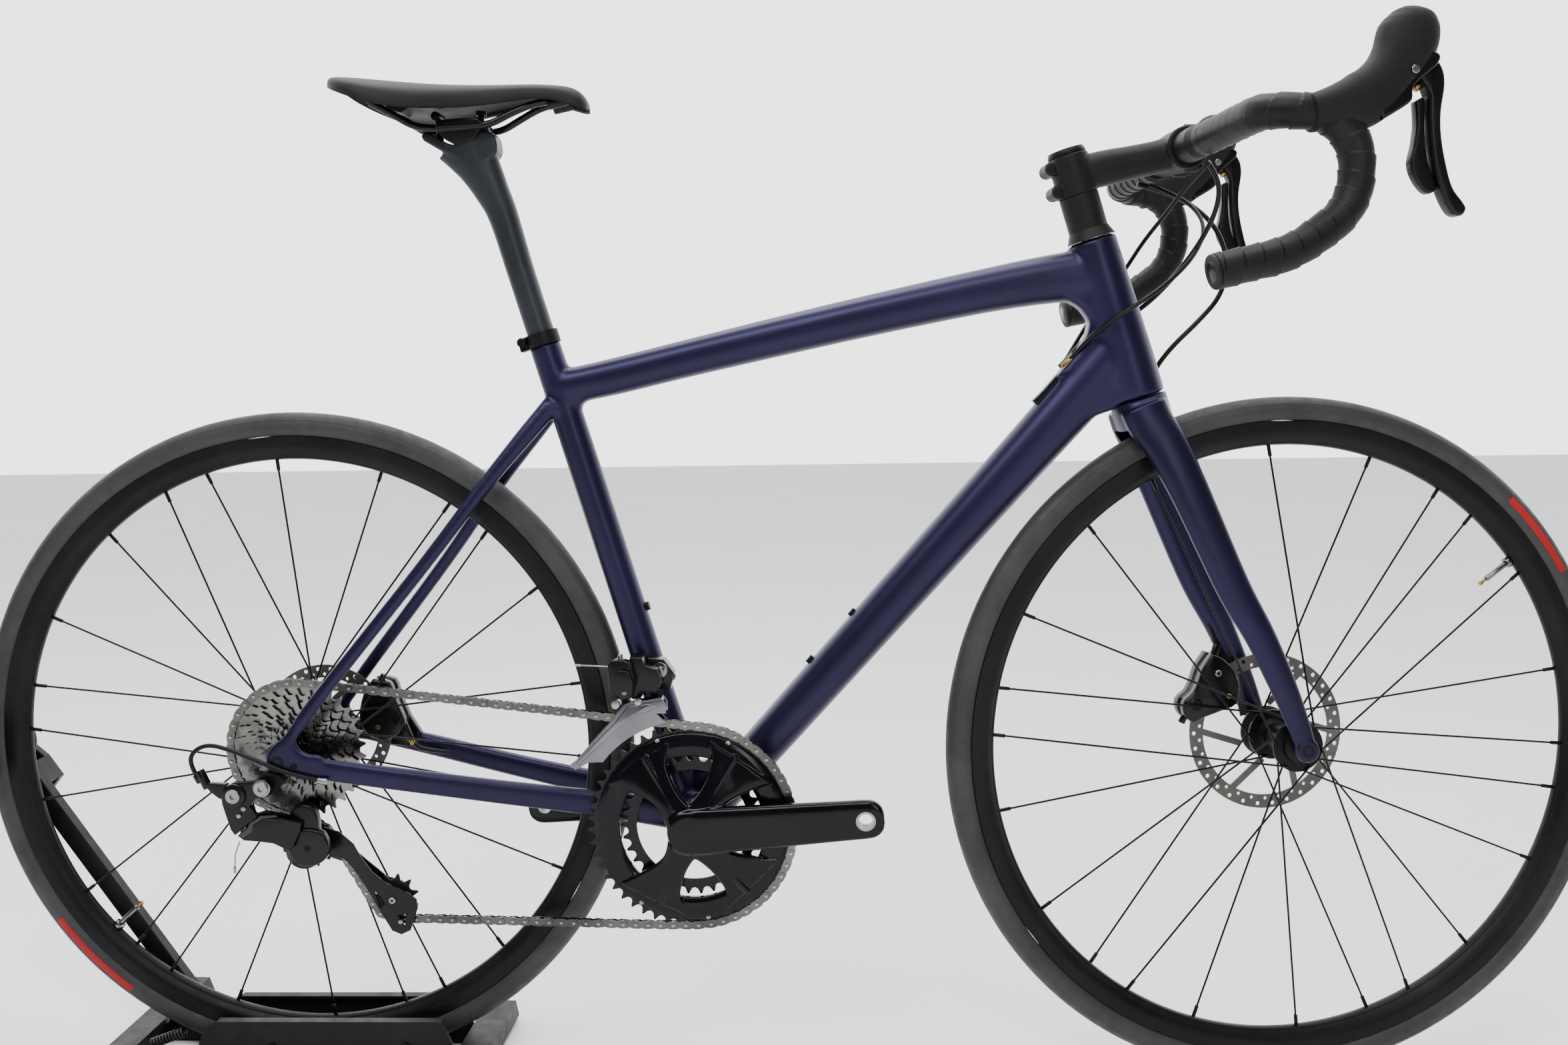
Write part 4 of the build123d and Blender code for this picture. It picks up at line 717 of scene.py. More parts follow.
# ---------------------------------------------------------------- wheels
def tyre_profile():
    """Closed tyre section: a round carcass with a slightly raised tread band."""
    centre = TYRE_R - TYRE_SECTION_R
    outer = []
    for i in range(41):
        a = math.radians(-132 + i * 264 / 40)
        r = TYRE_SECTION_R - (0.45 if abs(a) > math.radians(62) else 0.0)
        outer.append((centre + r * math.cos(a), r * math.sin(a)))
    inner_r = TYRE_SECTION_R - 2.2
    inner = [(centre + inner_r * math.cos(a), inner_r * math.sin(a))
             for a in [math.radians(120 - i * 24) for i in range(11)]]
    return outer + inner


def sidewall_bar(name, centre, start, end, side, mat):
    """Printed bar on the tyre's sidewall between two angles, a plain block of colour."""
    middle = TYRE_R - TYRE_SECTION_R
    lift = TYRE_SECTION_R - 0.2
    rings = []
    count = 40
    for i in range(count + 1):
        turn = math.radians(start + (end - start) * i / count)
        ring = []
        for a in [math.radians(66 + k * 4.5) for k in range(8)]:
            r = middle + lift * math.cos(a)
            ring.append(Vector((centre[0] + r * math.cos(turn), side * lift * math.sin(a),
                                centre[1] + r * math.sin(turn))))
        rings.append(ring)
    verts = [p for ring in rings for p in ring]
    faces = []
    for r in range(count):
        for i in range(7):
            a = r * 8 + i
            faces.append((a, a + 1, a + 9, a + 8))
    return mesh_object(name, verts, faces, mat)


def rim_profile():
    """Deep rim with a rounded nose, flat brake-free flanks and a hooked edge."""
    w = 11.5
    nose = [(RIM_INNER_R + 3.2 - 3.2 * math.cos(a), 5.5 * math.sin(a)) for a in
            [math.radians(-90 + i * 15) for i in range(13)]]
    right = [(RIM_OUTER_R - 0.4, -w + 0.2), (RIM_INNER_R + 15, -w), (RIM_INNER_R + 11, -w + 0.4),
             (RIM_INNER_R + 7, -w + 2.2)]
    left = [(r, -y) for r, y in reversed(right)]
    well = [(RIM_OUTER_R, w - 0.6), (RIM_OUTER_R, w - 2), (RIM_OUTER_R - 6, w - 2.5), (RIM_OUTER_R - 9, 4),
            (RIM_OUTER_R - 9, -4), (RIM_OUTER_R - 6, -w + 2.5), (RIM_OUTER_R, -w + 2),
            (RIM_OUTER_R, -w + 0.6)]
    return right + nose + left + well


def nipples(name, centre, flanges, hook_r=22.0, spokes=24):
    """Nipples where the spokes enter the rim."""
    pieces = []
    per_side = spokes // 2
    for flange, rim_y, offset in ((flanges[0], -1.6, 0.0), (flanges[1], 1.6, 0.5)):
        for i in range(per_side):
            hook = 2 * math.pi * (i + offset) / per_side
            lead = 1 if i % 2 else -1
            reach = hook + lead * 2.1 * 2 * math.pi / per_side
            start = Vector((centre[0] + hook_r * math.cos(hook), flange + lead * 3.4,
                            centre[1] + hook_r * math.sin(hook)))
            end = Vector((centre[0] + RIM_INNER_R * math.cos(reach), rim_y,
                          centre[1] + RIM_INNER_R * math.sin(reach)))
            back = (start - end).normalized()
            pieces.append(rod("nipple", end - back * 0.5, end + back * 11, 1.85, ANODISED, 12, 0.5))
    return join_objects(name, pieces)


def valve(name, centre, degrees):
    """Long threaded valve with its lock ring and small tip."""
    a = math.radians(degrees)
    outward = Vector((math.cos(a), 0, math.sin(a)))
    hub = Vector((centre[0], 0, centre[1]))

    def station(radius):
        return hub + outward * radius

    stem = rod("stem", station(262), station(294), 2.9, POLISHED, 24, 0.5)
    tip = rod("tip", station(256), station(262), 1.5, BRASS, 16, 0.4)
    knurl = rod("knurl", station(253.5), station(257.5), 2.3, BRASS, 16, 0.5)
    ring = rod("ring", station(287.5), station(291.8), 5.6, POLISHED, 32, 0.8)
    return join_objects(name, [stem, tip, knurl, ring])


def build_wheel(which, centre, flanges, body, valve_degrees, bars, turn):
    """Tyre, rim and the small parts of one wheel. turn places a straight-ahead piece."""
    tyre = turn(lathe(f"{which}_tyre_skin", tyre_profile(), (centre[0], 0, centre[1]), TYRE, segments=240,
                      angle=20))
    finish(tyre, body, "tyre", f"{which}_tyre")
    rim = turn(lathe(f"{which}_rim_skin", rim_profile(), (centre[0], 0, centre[1]), RIM_BLACK, segments=240,
                     angle=25))
    finish(rim, body, "black_alloy", f"{which}_rim")
    labels = [sidewall_bar("bar", centre, *bars, side, LABEL_RED) for side in (-1, 1)]
    finish(turn(join_objects(f"{which}_tyre_bars", labels)), body, "tyre")
    finish(turn(nipples(f"{which}_nipples", centre, flanges)), body, "black_alloy")
    finish(turn(valve(f"{which}_valve", centre, valve_degrees)), body, "steel")
    keep(f"{which}_spokes", SPOKE_BLACK)
    keep(f"{which}_hub", ANODISED)
    keep(f"{which}_rotor", ROTOR_STEEL)


# ---------------------------------------------------------------- cockpit
def rounded_route(points, radii, step=1.5):
    """Points along straight runs joined by arcs, about step apart, in millimetres."""
    corners = [Vector(p) for p in points]
    line = [corners[0]]
    for before, corner, after, radius in zip(corners, corners[1:], corners[2:], radii):
        into, out = (corner - before).normalized(), (after - corner).normalized()
        turn = into.angle(out)
        trim = radius * math.tan(turn / 2)
        start = corner - into * trim
        centre_way = (out - into).normalized()
        centre = corner + centre_way * (radius / math.cos(turn / 2))
        axis = into.cross(out).normalized()
        line.append(start)
        count = max(4, int(radius * turn / step))
        for i in range(1, count + 1):
            line.append(centre + Matrix.Rotation(turn * i / count, 3, axis) @ (start - centre))
    line.append(corners[-1])
    even = [line[0]]
    for a, b in zip(line, line[1:]):
        count = max(1, round((b - a).length / step))
        even += [a + (b - a) * i / count for i in range(1, count + 1)]
    return even


BAR_ROUTE = [
    (CLAMP[0], 66.0, CLAMP[1] - 0.95), (CLAMP[0], BAR_HALF_WIDTH - 2, CLAMP[1] - 3),
    (961, BAR_HALF_WIDTH, 906),
    (956.5, BAR_HALF_WIDTH + 4, 832), (902, BAR_HALF_WIDTH + 6, 794.5), (835.6, BAR_HALF_WIDTH + 7, 779.5),
]
BAR_BENDS = [34, 42, 56, 110]


def build_tape(side, sign):
    """Bar tape wound in overlapping turns, with its finishing tape and end plug."""
    line = rounded_route(BAR_ROUTE, BAR_BENDS, 0.9)
    pitch = 17.0
    segments = 72
    travelled = 0.0
    normal = Vector((0, 0, 1))
    rings = []
    for i, place in enumerate(line):
        before, after = line[max(i - 1, 0)], line[min(i + 1, len(line) - 1)]
        along = (after - before).normalized()
        if i:
            travelled += (place - line[i - 1]).length
        normal = (normal - along * normal.dot(along)).normalized()
        other = along.cross(normal)
        ring = []
        for k in range(segments):
            turn = 2 * math.pi * k / segments
            phase = (travelled / pitch + sign * k / segments) % 1.0
            lip = 0.95 * (1 - phase) + 0.25 * math.exp(-((phase / 0.06) ** 2))
            wave = 0.12 * math.sin(2 * math.pi * (travelled / 47 + 2 * k / segments))
            radius = 14.5 + lip + wave
            if travelled < 4:
                radius -= (4 - travelled) * 0.5
            ring.append(place + (normal * math.cos(turn) + other * math.sin(turn)) * radius)
        rings.append(ring)
    if sign < 0:
        rings = [[Vector((p.x, -p.y, p.z)) for p in ring] for ring in rings]
    tape = rings_to_mesh(f"bar_tape_{side}", rings, TAPE)
    end_way = (Vector(BAR_ROUTE[-1]) - Vector(BAR_ROUTE[-2])).normalized()
    end = Vector(BAR_ROUTE[-1])
    tip_a, tip_b = end - end_way * 0.5, end + end_way * 3.4
    start = Vector(BAR_ROUTE[0])
    ring_a, ring_b = start - Vector((0, 1.0, 0)), start + Vector((0, 14, -0.2))
    if sign < 0:
        for point in (tip_a, tip_b, ring_a, ring_b):
            point.y = -point.y
    plug = rod("plug", tip_a, tip_b, 15.0, PLASTIC, 48, 1.6)
    dimple = rod("dimple", tip_b - (tip_b - tip_a) * 0.2, tip_b + (tip_b - tip_a) * 0.06, 9.0, GLOSS_BLACK,
                 40, 0.4)
    band = rod("band", ring_a, ring_b, 14.9, PLASTIC, 64, 0.4)
    whole = join_objects(f"wound_tape_{side}", [tape, plug, dimple, band])
    return front(whole)


def build_hood(side, sign):
    """Rubber hood over the lever body, with the pivot screw and lever mount."""
    y = sign * BAR_HALF_WIDTH
    stations = [
        (919, y, 909.5, 32.5, 31), (931, y, 912, 34, 34), (946, y, 915, 34, 41), (960, y, 919, 33, 47),
        (974, y, 927.5, 32.5, 46), (986, y, 940, 33, 44), (995, y, 953, 34, 47), (1001, y, 966, 35, 51),
        (1004, y, 977, 34.5, 50), (1005, y, 986, 31, 43), (1005, y, 992.5, 23, 31), (1005, y, 996.3, 11, 15),
    ]
    hood = loft("hood", stations, HOOD_RUBBER, 2.5, 6, 56)
    bracket = plate("bracket", [(976, 902), (990, 910), (1001, 918), (1003, 930), (1022, 946), (1024, 956),
                                (1006, 958),
                                (984, 934), (970, 916)], y - 13.5, y + 13.5, GLOSS_BLACK, 3.0, 3)
    screws = [screw("pivot", (1001, y + s * 16.4, 942), (0, s, 0), 3.4, 1.4, STEEL, 1.7) for s in (1, -1)]
    return front(join_objects(f"hood_{side}", [hood, bracket, *screws]))


BLADE = [
    (1010, 955), (1021, 956), (1030, 946), (1032.5, 932), (1029.5, 910), (1030, 890), (1034, 868),
    (1040, 848),
    (1049, 836), (1052, 830), (1048, 824.5), (1040, 827), (1032, 840), (1025, 860), (1020.5, 884),
    (1019, 906),
    (1018, 926), (1009, 941),
]
PADDLE = [(1009, 919), (1017, 921), (1017, 895), (1020, 870), (1027, 852), (1026, 845), (1019, 844),
          (1010, 854),
          (1005, 868), (1008, 884), (1010, 900)]


def build_levers(side, sign):
    """Brake blade and the shift paddle behind it."""
    y = sign * BAR_HALF_WIDTH
    blade = plate("blade", BLADE, y - 7.5, y + 7.5, LEVER_BLACK, 2.8, 4)
    pin = rod("pin", (1014, y - 8.6, 947), (1014, y + 8.6, 947), 2.6, STEEL, 24, 0.4)
    spring_cap = rod("cap", (1016, y - sign * 2, 934), (1010, y - sign * 2, 930), 3.2, BRASS, 24, 0.5)
    finish(front(join_objects(f"brake_blade_{side}", [blade, pin, spring_cap])), f"brake_lever_{side}",
           "black_alloy",
           f"brake_lever_{side}")
    paddle = plate("paddle", PADDLE, y - sign * 7, y + sign * 3.5, LEVER_BLACK, 2.0, 4)
    paddle.name = f"shift_blade_{side}"
    finish(front(paddle), f"shift_paddle_{side}", "black_plastic", f"shift_paddle_{side}")


def behind_steerer(station, distance):
    """Point behind the steering axis, square to it."""
    return up_steerer(station) - Vector((math.sin(HEAD_ANGLE), 0, math.cos(HEAD_ANGLE))) * distance


def build_stem():
    """Stem body, faceplate and their screws."""
    root = up_steerer(591.5)
    clamp = rod("clamp", up_steerer(571.7), up_steerer(610.8), 19.4, STEM_BLACK, 72, 1.2)
    body = loft("body", [
        (root.x + 4, 0, root.z + 1, 32, 33), (810, 0, 901.5, 32, 34), (835, 0, 906.5, 32, 32),
        (858, 0, 911, 34, 31.5),
        (872, 0, 914, 38, 33),
    ], STEM_BLACK, 2.3)
    barrel = rod("barrel", (CLAMP[0], -21.5, CLAMP[1]), (CLAMP[0], 21.5, CLAMP[1]), 20.6, STEM_BLACK, 72,
                 1.6)
    ears = []
    for station in STEM_CLAMP_STATIONS:
        ear = behind_steerer(station, 21)
        ears.append(rod("ear", (ear.x, -12.5, ear.z), (ear.x, 12.5, ear.z), 6.8, STEM_BLACK, 40, 1.4))
        bridge = behind_steerer(station, 14)
        ears.append(rod("web", (bridge.x, -11, bridge.z), (bridge.x, 11, bridge.z), 6.4, STEM_BLACK, 32,
                        1.0))
    cast = cast_as_one("stem_casting", [clamp, body, barrel, *ears], STEM_BLACK, 0.9, 4,
                       [(810, 0, 895, 34), (868, 0, 914, 24)],
                       12)
    finish(front(cast), "front_end", "black_alloy", "stem", "stem_faceplate")
    parts = []
    for station, side in zip(STEM_CLAMP_STATIONS, (-1, 1)):
        ear = behind_steerer(station, 21)
        parts.append(screw("clamp_screw", (ear.x, side * 12.2, ear.z), (0, side, 0), 4.3, 1.6, ANODISED,
                           2.1))
        parts.append(rod("nut", (ear.x, -side * 12.2, ear.z), (ear.x, -side * 13.2, ear.z), 3.6, ANODISED,
                         24, 0.4))
    for y in (-14, 14):
        for dz, dx in ((17.5, 13.5), (-17.5, 11)):
            parts.append(screw("face_screw", (CLAMP[0] + dx, y, CLAMP[1] + dz), (1, 0, 0.05), 3.4, 5.0,
                               ANODISED, 1.9))
            parts.append(rod("boss", (CLAMP[0] - 2, y, CLAMP[1] + dz), (CLAMP[0] + dx, y, CLAMP[1] + dz),
                             5.2,
                             STEM_BLACK, 24, 1.0))
    finish(front(join_objects("stem_screws", parts)), "front_end", "black_alloy")
    cap_base = up_steerer(611.2)
    cap = lathe("cap", [(0, 0), (18.4, 0), (18.6, 1.4), (17.4, 4.6), (16.6, 5.6), (5, 5.8), (4.6, 2.6),
                        (0, 2.6)],
                cap_base, ANODISED, STEER_AXIS, 72)
    finish(front(cap), "front_end", "black_alloy")
    seam = lathe("headset_line", [(20, 0), (23.5, 0), (23.9, 0.35), (23.5, 0.7), (20, 0.7)],
                 up_steerer(527.75),
                 POLISHED, STEER_AXIS, 96)
    finish(front(seam), "front_end", "steel")
    keep("headset_spacers", STEM_BLACK)
    keep("handlebar", STEM_BLACK)


FRONT_BRAKE = [
    (872, 82, 900), (894, 80, 894), (922, 66, 878), (943, 50, 852), (950, 38, 816), (940, 30, 782),
    (915, 28, 756), (889, 34, 731), (872, 41, 706), (862, 45, 682),
]
REAR_BRAKE = [
    (894, -50, 898), (908, -44, 884), (912, -30, 860), (903, -10, 831), (886, 10, 803), (863, 28, 776),
    (838, 39, 758), (815, 36, 748), (794, 16, 741), (776, 3, 718.5),
]
FRONT_SHIFT = [
    (878, 64, 896), (902, 56, 886), (918, 36, 866), (914, 10, 842), (895, -12, 816), (868, -30, 792),
    (840, -39, 773), (814, -36, 757), (793, -20, 740), (775, -10, 717.5),
]
REAR_SHIFT = [
    (890, -66, 896), (877, -48, 880), (865, -22, 856), (852, 6, 834), (841, 32, 810), (826, 44, 786),
    (808, 42, 764), (793, 27, 745), (775, 12, 718),
]
REAR_LOOP = [
    (46, -81.5, 322.5), (16, -82, 328.5), (-14, -82.5, 341), (-44, -83, 354), (-66, -83, 360),
    (-82, -82.5, 353),
    (-87, -81.5, 340), (-80.3, -80.2, 326.4),
]


def following_bar(points):
    """Route whose upper points turn with the bar and whose lower points stay with the frame."""
    route = []
    for place in points:
        share = min(max((place[2] - 735) / 130, 0.0), 1.0)
        turn = Matrix.Rotation(math.radians(STEER_DEG * share), 4, STEER_AXIS)
        base = STEER_POINT / MM
        route.append(base + turn @ (Vector(place) - base))
    return route


def build_hoses():
    """Brake hoses and shift housings of the front end, and the loop at the rear derailleur."""
    brake = front(hose("front_brake_line", FRONT_BRAKE, 2.5, HOUSING))
    finish(brake, "front_end", "housing", "front_cables")
    for name, points, radius in (("rear_brake_line", REAR_BRAKE, 2.5),
                                 ("front_shift_line", FRONT_SHIFT, 2.1),
                                 ("rear_shift_line", REAR_SHIFT, 2.1)):
        line = hose(name, following_bar(points), radius, HOUSING)
        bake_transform(line)
    leg = front(hose("fork_brake_line", [
        (862, 45, 684), (868, 46, 650), (882, 47, 600), (899, 48, 550), (915, 49, 500), (931, 48, 462),
        (941, 46, 428),
    ], 2.4, HOUSING))
    finish(leg, "front_end", "housing")
    loop = hose("rear_loop", REAR_LOOP, 2.2, HOUSING)
    finish(loop, "frame", "housing", "rd_housing")
    ferrules = [
        rod("loop_ferrule", (50, -81.4, 321.8), (41, -81.6, 323.4), 3.2, STEEL, 24, 0.5),
        rod("loop_end", (-81.6, -80.4, 329), (-77.5, -79.8, 320.5), 3.6, GLOSS_BLACK, 24, 0.6),
    ]
    finish(join_objects("loop_ends", ferrules), "frame", "steel")


# ---------------------------------------------------------------- saddle and post
SADDLE = [  # x, top, lower edge, half width
    (64, 1000.5, 995, 20), (70, 1003, 989.5, 42), (82, 1002, 983, 59), (100, 1000, 975.5, 70),
    (118, 998.2, 969.5, 71.5),
    (136, 996.6, 966.2, 68), (155, 995.4, 965.4, 59), (175, 994.6, 966.4, 48), (195, 994.2, 968.2, 38),
    (215, 994.0, 970.5, 31), (240, 994.0, 974, 26.5), (262, 993.8, 976.3, 24), (282, 992.6, 975.5, 22),
    (296, 990.4, 971.5, 20.5), (306, 985.5, 968.2, 18), (312, 977.5, 967.2, 12), (313.4, 971, 968, 5),
]


def build_saddle():
    """Short-nosed saddle with a sunken centre channel and a plain dark base."""
    line = smooth_line(SADDLE, 6)
    across = 60
    rings = []
    for x, top, low, half in line:
        channel = math.exp(-(((x - 185) / 78) ** 4))
        ring = []
        for k in range(across + 1):
            a = math.pi * k / across
            y = -half * math.copysign(abs(math.cos(a)) ** 0.72, math.cos(a))
            rise = math.sin(a) ** 0.62
            crown = 1.0 - 0.06 * (abs(y) / max(half, 1)) ** 2
            dip = 7.0 * channel * math.exp(-((y / 9.5) ** 4)) * (1 if half > 20 else 0)
            ring.append(Vector((x, y, low + (top - low) * rise * crown - dip)))
        for k in range(1, across):
            a = math.pi * (1 - k / across)
            y = -(half - 2.2) * math.copysign(abs(math.cos(a)) ** 0.72, math.cos(a))
            hollow = min(7.0, (top - low) * 0.35) * math.sin(a) ** 0.5
            ring.append(Vector((x, y, low + 0.6 + hollow)))
        rings.append(ring)
    pad = rings_to_mesh("saddle_cushion", rings, SADDLE_COVER)
    pad.data.materials.append(PLASTIC)
    for face in pad.data.polygons:
        if face.normal.z < -0.35:
            face.material_index = 1
    finish(pad, "saddle", "saddle_cover", "saddle_pad")
    keep("saddle_rails", GLOSS_BLACK)
    cradles = [rod("nose_socket", (276, y, 972), (296, y, 976), 4.6, PLASTIC, 24, 1.2) for y in (-13, 13)]
    bridge = plate("shell_bridge", [(112, 985), (118, 972), (132, 969), (150, 980), (210, 984), (262, 986),
                                    (280, 988),
                                    (200, 989), (130, 988)], -14, 14, PLASTIC, 1.5)
    finish(join_objects("saddle_base", [*cradles, bridge]), "saddle", "black_plastic")


def build_post():
    """Seat post that flares back into a clamp head, with the rail clamp and its screws."""
    stations = [(*seat_line(z), 27.2, 27.2) for z in (562, 700, 810)]
    stations += [
        (225.5, 0, 868, 27.4, 29.4), (214.5, 0, 894, 28, 34.5), (204, 0, 915, 28.6, 42),
        (195.5, 0, 930, 29, 51),
        (189, 0, 941, 29, 59),
    ]
    shaft = loft("shaft", stations, POST_BLACK, 2.1, 8, 56)
    head = plate("head", [(152, 942), (150, 947), (156, 950), (166, 944.5), (178, 938.5), (192, 938),
                          (203, 943.5),
                          (208, 949.5), (219, 948.5), (224, 940), (222, 926), (200, 918), (176, 928)],
                 -13.6, 13.6, POST_BLACK, 2.6, 3)
    cast = cast_as_one("post_casting", [shaft, head], POST_BLACK, 1.0, 5, [(190, 0, 932, 30)], 14)
    finish(cast, "seatpost", "black_alloy", "seatpost")
    cradle = lathe("cradle", [(0, -16), (21, -16), (22, -15), (22, 15), (21, 16), (0, 16)], (188, 0, 959.5),
                   PLASTIC, segments=96)
    trimmed = []
    bm = bmesh.new()
    bm.from_mesh(cradle.data)
    cut = bmesh.ops.bisect_plane(bm, geom=bm.verts[:] + bm.edges[:] + bm.faces[:],
                                 plane_co=mm(188, 0, 955.5),
                                 plane_no=(0, 0, 1), clear_outer=True)
    rim_edges = [e for e in cut["geom_cut"] if isinstance(e, bmesh.types.BMEdge)]
    bmesh.ops.edgeloop_fill(bm, edges=rim_edges)
    bm.to_mesh(cradle.data)
    bm.free()
    trimmed.append(shade_by_angle(cradle, 35))
    for sign in (1, -1):
        trimmed.append(plate("jaw", [(168, 951.5), (170, 957.5), (176, 959.5), (205, 960.5), (211, 958.5),
                                     (212, 952.5)],
                             sign * 15.5, sign * 26.5, GLOSS_BLACK, 1.6, 2))
    trimmed.append(rod("front_bolt", (206.4, 0, 946), (207, 0, 967), 3.0, GLOSS_BLACK, 24, 0.4))
    trimmed.append(screw("front_head", (207, 0, 966), (0.03, 0, 1), 5.2, 4.5, ANODISED, 2.4))
    trimmed.append(rod("rear_bolt", (166, 0, 943), (163, 0, 966), 3.0, GLOSS_BLACK, 24, 0.4))
    trimmed.append(rod("yoke", (164, -11, 965.5), (164, 11, 965.5), 4.4, ANODISED, 32, 0.8))
    finish(join_objects("saddle_clamp", trimmed), "seatpost", "black_alloy")


# ---------------------------------------------------------------- drivetrain
def around_bb(radius, degrees):
    """Point at a radius and angle from the crank's axis."""
    a = math.radians(degrees)
    return BB[0] + radius * math.cos(a), BB[1] + radius * math.sin(a)


def in_arm(along, across, heading):
    """Point beside a crank arm's centre line."""
    a = math.radians(heading)
    return BB[0] + along * math.cos(a) - across * math.sin(a), BB[1] + along * math.sin(a) + across * math.cos(a)


def sculpted_arm(name, y_inner, y_outer, heading):
    """Crank arm with full rounded flanks that thins towards the pedal eye."""
    stations = []
    middle = (y_inner + y_outer) / 2
    depth = abs(y_outer - y_inner)
    for along, height, thick in ((-19, 30, 0.9), (-8, 44, 1.0), (10, 46.5, 1.0), (40, 45, 1.0),
                                 (80, 43, 0.98),
                                 (120, 41, 0.92), (150, 39.5, 0.88), (172.5, 38.4, 0.86), (182, 35, 0.82),
                                 (188.4, 24, 0.74), (190.6, 10, 0.6)):
        x, z = in_arm(along, 0, heading)
        stations.append((x, middle, z, depth * thick, height))
    return loft(name, stations, CRANK_BLACK, 3.4, 6, 56)


def build_cranks():
    """Right crank with its four-arm spider, the ring cover, and the left crank."""
    right = sculpted_arm("right_arm", -57.5, -73.0, CRANK_DEG)
    pieces = [right, rod("boss", (BB[0], -72.6, BB[1]), (BB[0], -47, BB[1]), 22.5, CRANK_BLACK, 64, 5.0)]
    for spider in SPIDER:
        heading = spider + CRANK_DEG
        stations = []
        outward = math.copysign(1, spider) * (1 if abs(spider) > 90 else -1)
        for along, y, thick, wide, aside in ((6, -64, 14, 40, 0), (32, -61, 12, 27, 1), (52, -57, 10, 34, 4),
                                             (68, -53.5, 8, 50, 7), (82, -51, 6, 74, 8)):
            x, z = in_arm(along, aside * outward, heading)
            stations.append((x, y, z, thick, wide))
        pieces.append(loft("spider_arm", stations, CRANK_BLACK, 3.4, 6, 40))
        ridge = [in_arm(24, 0, heading), in_arm(86, 0, heading)]
        pieces.append(rod("ridge", (ridge[0][0], -66, ridge[0][1]), (ridge[1][0], -52.2, ridge[1][1]), 3.2,
                          CRANK_BLACK, 20, 1.0))
    pieces.append(lathe("ring_cone", [
        (71.5, -48.4), (71.5, -50.6), (76, -52.6), (82, -53.0), (89.5, -51.8), (94.6, -49.8), (95.4, -48.2),
        (95.2, -45.6), (90, -45.6), (80, -46.4),
    ], (BB[0], 0, BB[1]), CRANK_BLACK, segments=200, angle=24))
    right_cast = cast_as_one("right_crank_forging", pieces, CRANK_BLACK, 0.9, 3, [(BB[0], -62, BB[1], 46)],
                             24)
    x, z = in_arm(CRANK_LENGTH, 0, CRANK_DEG)
    drill(right_cast, lathe("eye", [(0, -90), (PEDAL_EYE_R, -90), (PEDAL_EYE_R, -40), (0, -40)], (x, 0, z),
                            CRANK_BLACK))
    finish(right_cast, "crankset", "black_alloy", "crank_right")
    collar = lathe("eye_collar", [(7.35, -73.3), (9.6, -73.3), (9.6, -72.2), (7.35, -72.2)], (x, 0, z),
                   STEEL,
                   segments=48)
    finish(collar, "crankset", "steel")
    spindle = lathe("spindle", [(9.5, -60), (12, -60), (12, 73.2), (9.5, 73.2)], (BB[0], 0, BB[1]), STEEL,
                    segments=72)
    finish(spindle, "crankset", "steel")
    left = [sculpted_arm("left_arm", 58.0, 73.0, CRANK_DEG + 180),
            rod("left_boss", (BB[0], 45.5, BB[1]), (BB[0], 74.5, BB[1]), 19.5, CRANK_BLACK, 64, 2.5)]
    left_cast = cast_as_one("left_crank_forging", left, CRANK_BLACK, 1.0, 3, [(BB[0], 60, BB[1], 34)], 8)
    x, z = in_arm(CRANK_LENGTH, 0, CRANK_DEG + 180)
    drill(left_cast, lathe("eye", [(0, 40), (PEDAL_EYE_R, 40), (PEDAL_EYE_R, 90), (0, 90)], (x, 0, z),
                           CRANK_BLACK))
    finish(left_cast, "crankset", "black_alloy", "crank_left")
    details = [lathe("preload_cap", [(0, 74.3), (13, 74.3), (13.4, 75.2), (12.6, 76.2), (6, 76.2), (5.4, 75),
                                     (0, 75)],
                     (BB[0], 0, BB[1]), PLASTIC, segments=48)]
    for degrees in (66, 110, -81, -124):
        x, z = around_bb(93, degrees)
        details.append(screw("ring_pin", (x, -50.2, z), (0, -1, 0), 2.3, 0.7, STEEL, 1.1))
    pinch = in_arm(27, 0, CRANK_DEG + 180)
    for offset in (-7, 7):
        details.append(screw("pinch", (pinch[0] + offset, 66, pinch[1] - 22), (0, 0, -1), 3.2, 1.2, STEEL,
                             1.6))
    finish(join_objects("crank_details", details), "crankset", "steel")
    keep("chainrings", GLOSS_BLACK)
    keep("chain", CHAIN_STEEL)
    keep("cassette", COG_STEEL)
    finish(chain_pins(), "frame", "chain_steel")


def chain_pins():
    """Riveted pin heads, one through the middle of each roller of the chain."""
    work = bmesh.new()
    work.from_mesh(frame["nodes"]["chain"].data)
    left = set(work.verts)
    middles = []
    while left:
        group, edge = set(), [left.pop()]
        while edge:
            vertex = edge.pop()
            group.add(vertex)
            near = [e.other_vert(vertex) for e in vertex.link_edges]
            near = [v for v in near if v in left]
            left.difference_update(near)
            edge += near
        low = [min(v.co[i] for v in group) for i in range(3)]
        high = [max(v.co[i] for v in group) for i in range(3)]
        if max(high[0] - low[0], high[2] - low[2]) < 9.0 * MM and high[1] - low[1] > 2.0 * MM:
            middles.append(Vector([(a + b) / 2 for a, b in zip(low, high)]) / MM)
    work.free()
    pins = [rod("pin", place - Vector((0, 3.3, 0)), place + Vector((0, 3.3, 0)), 1.75, STEEL, 12, 0.3)
            for place in middles]
    return join_objects("chain_pins", pins)


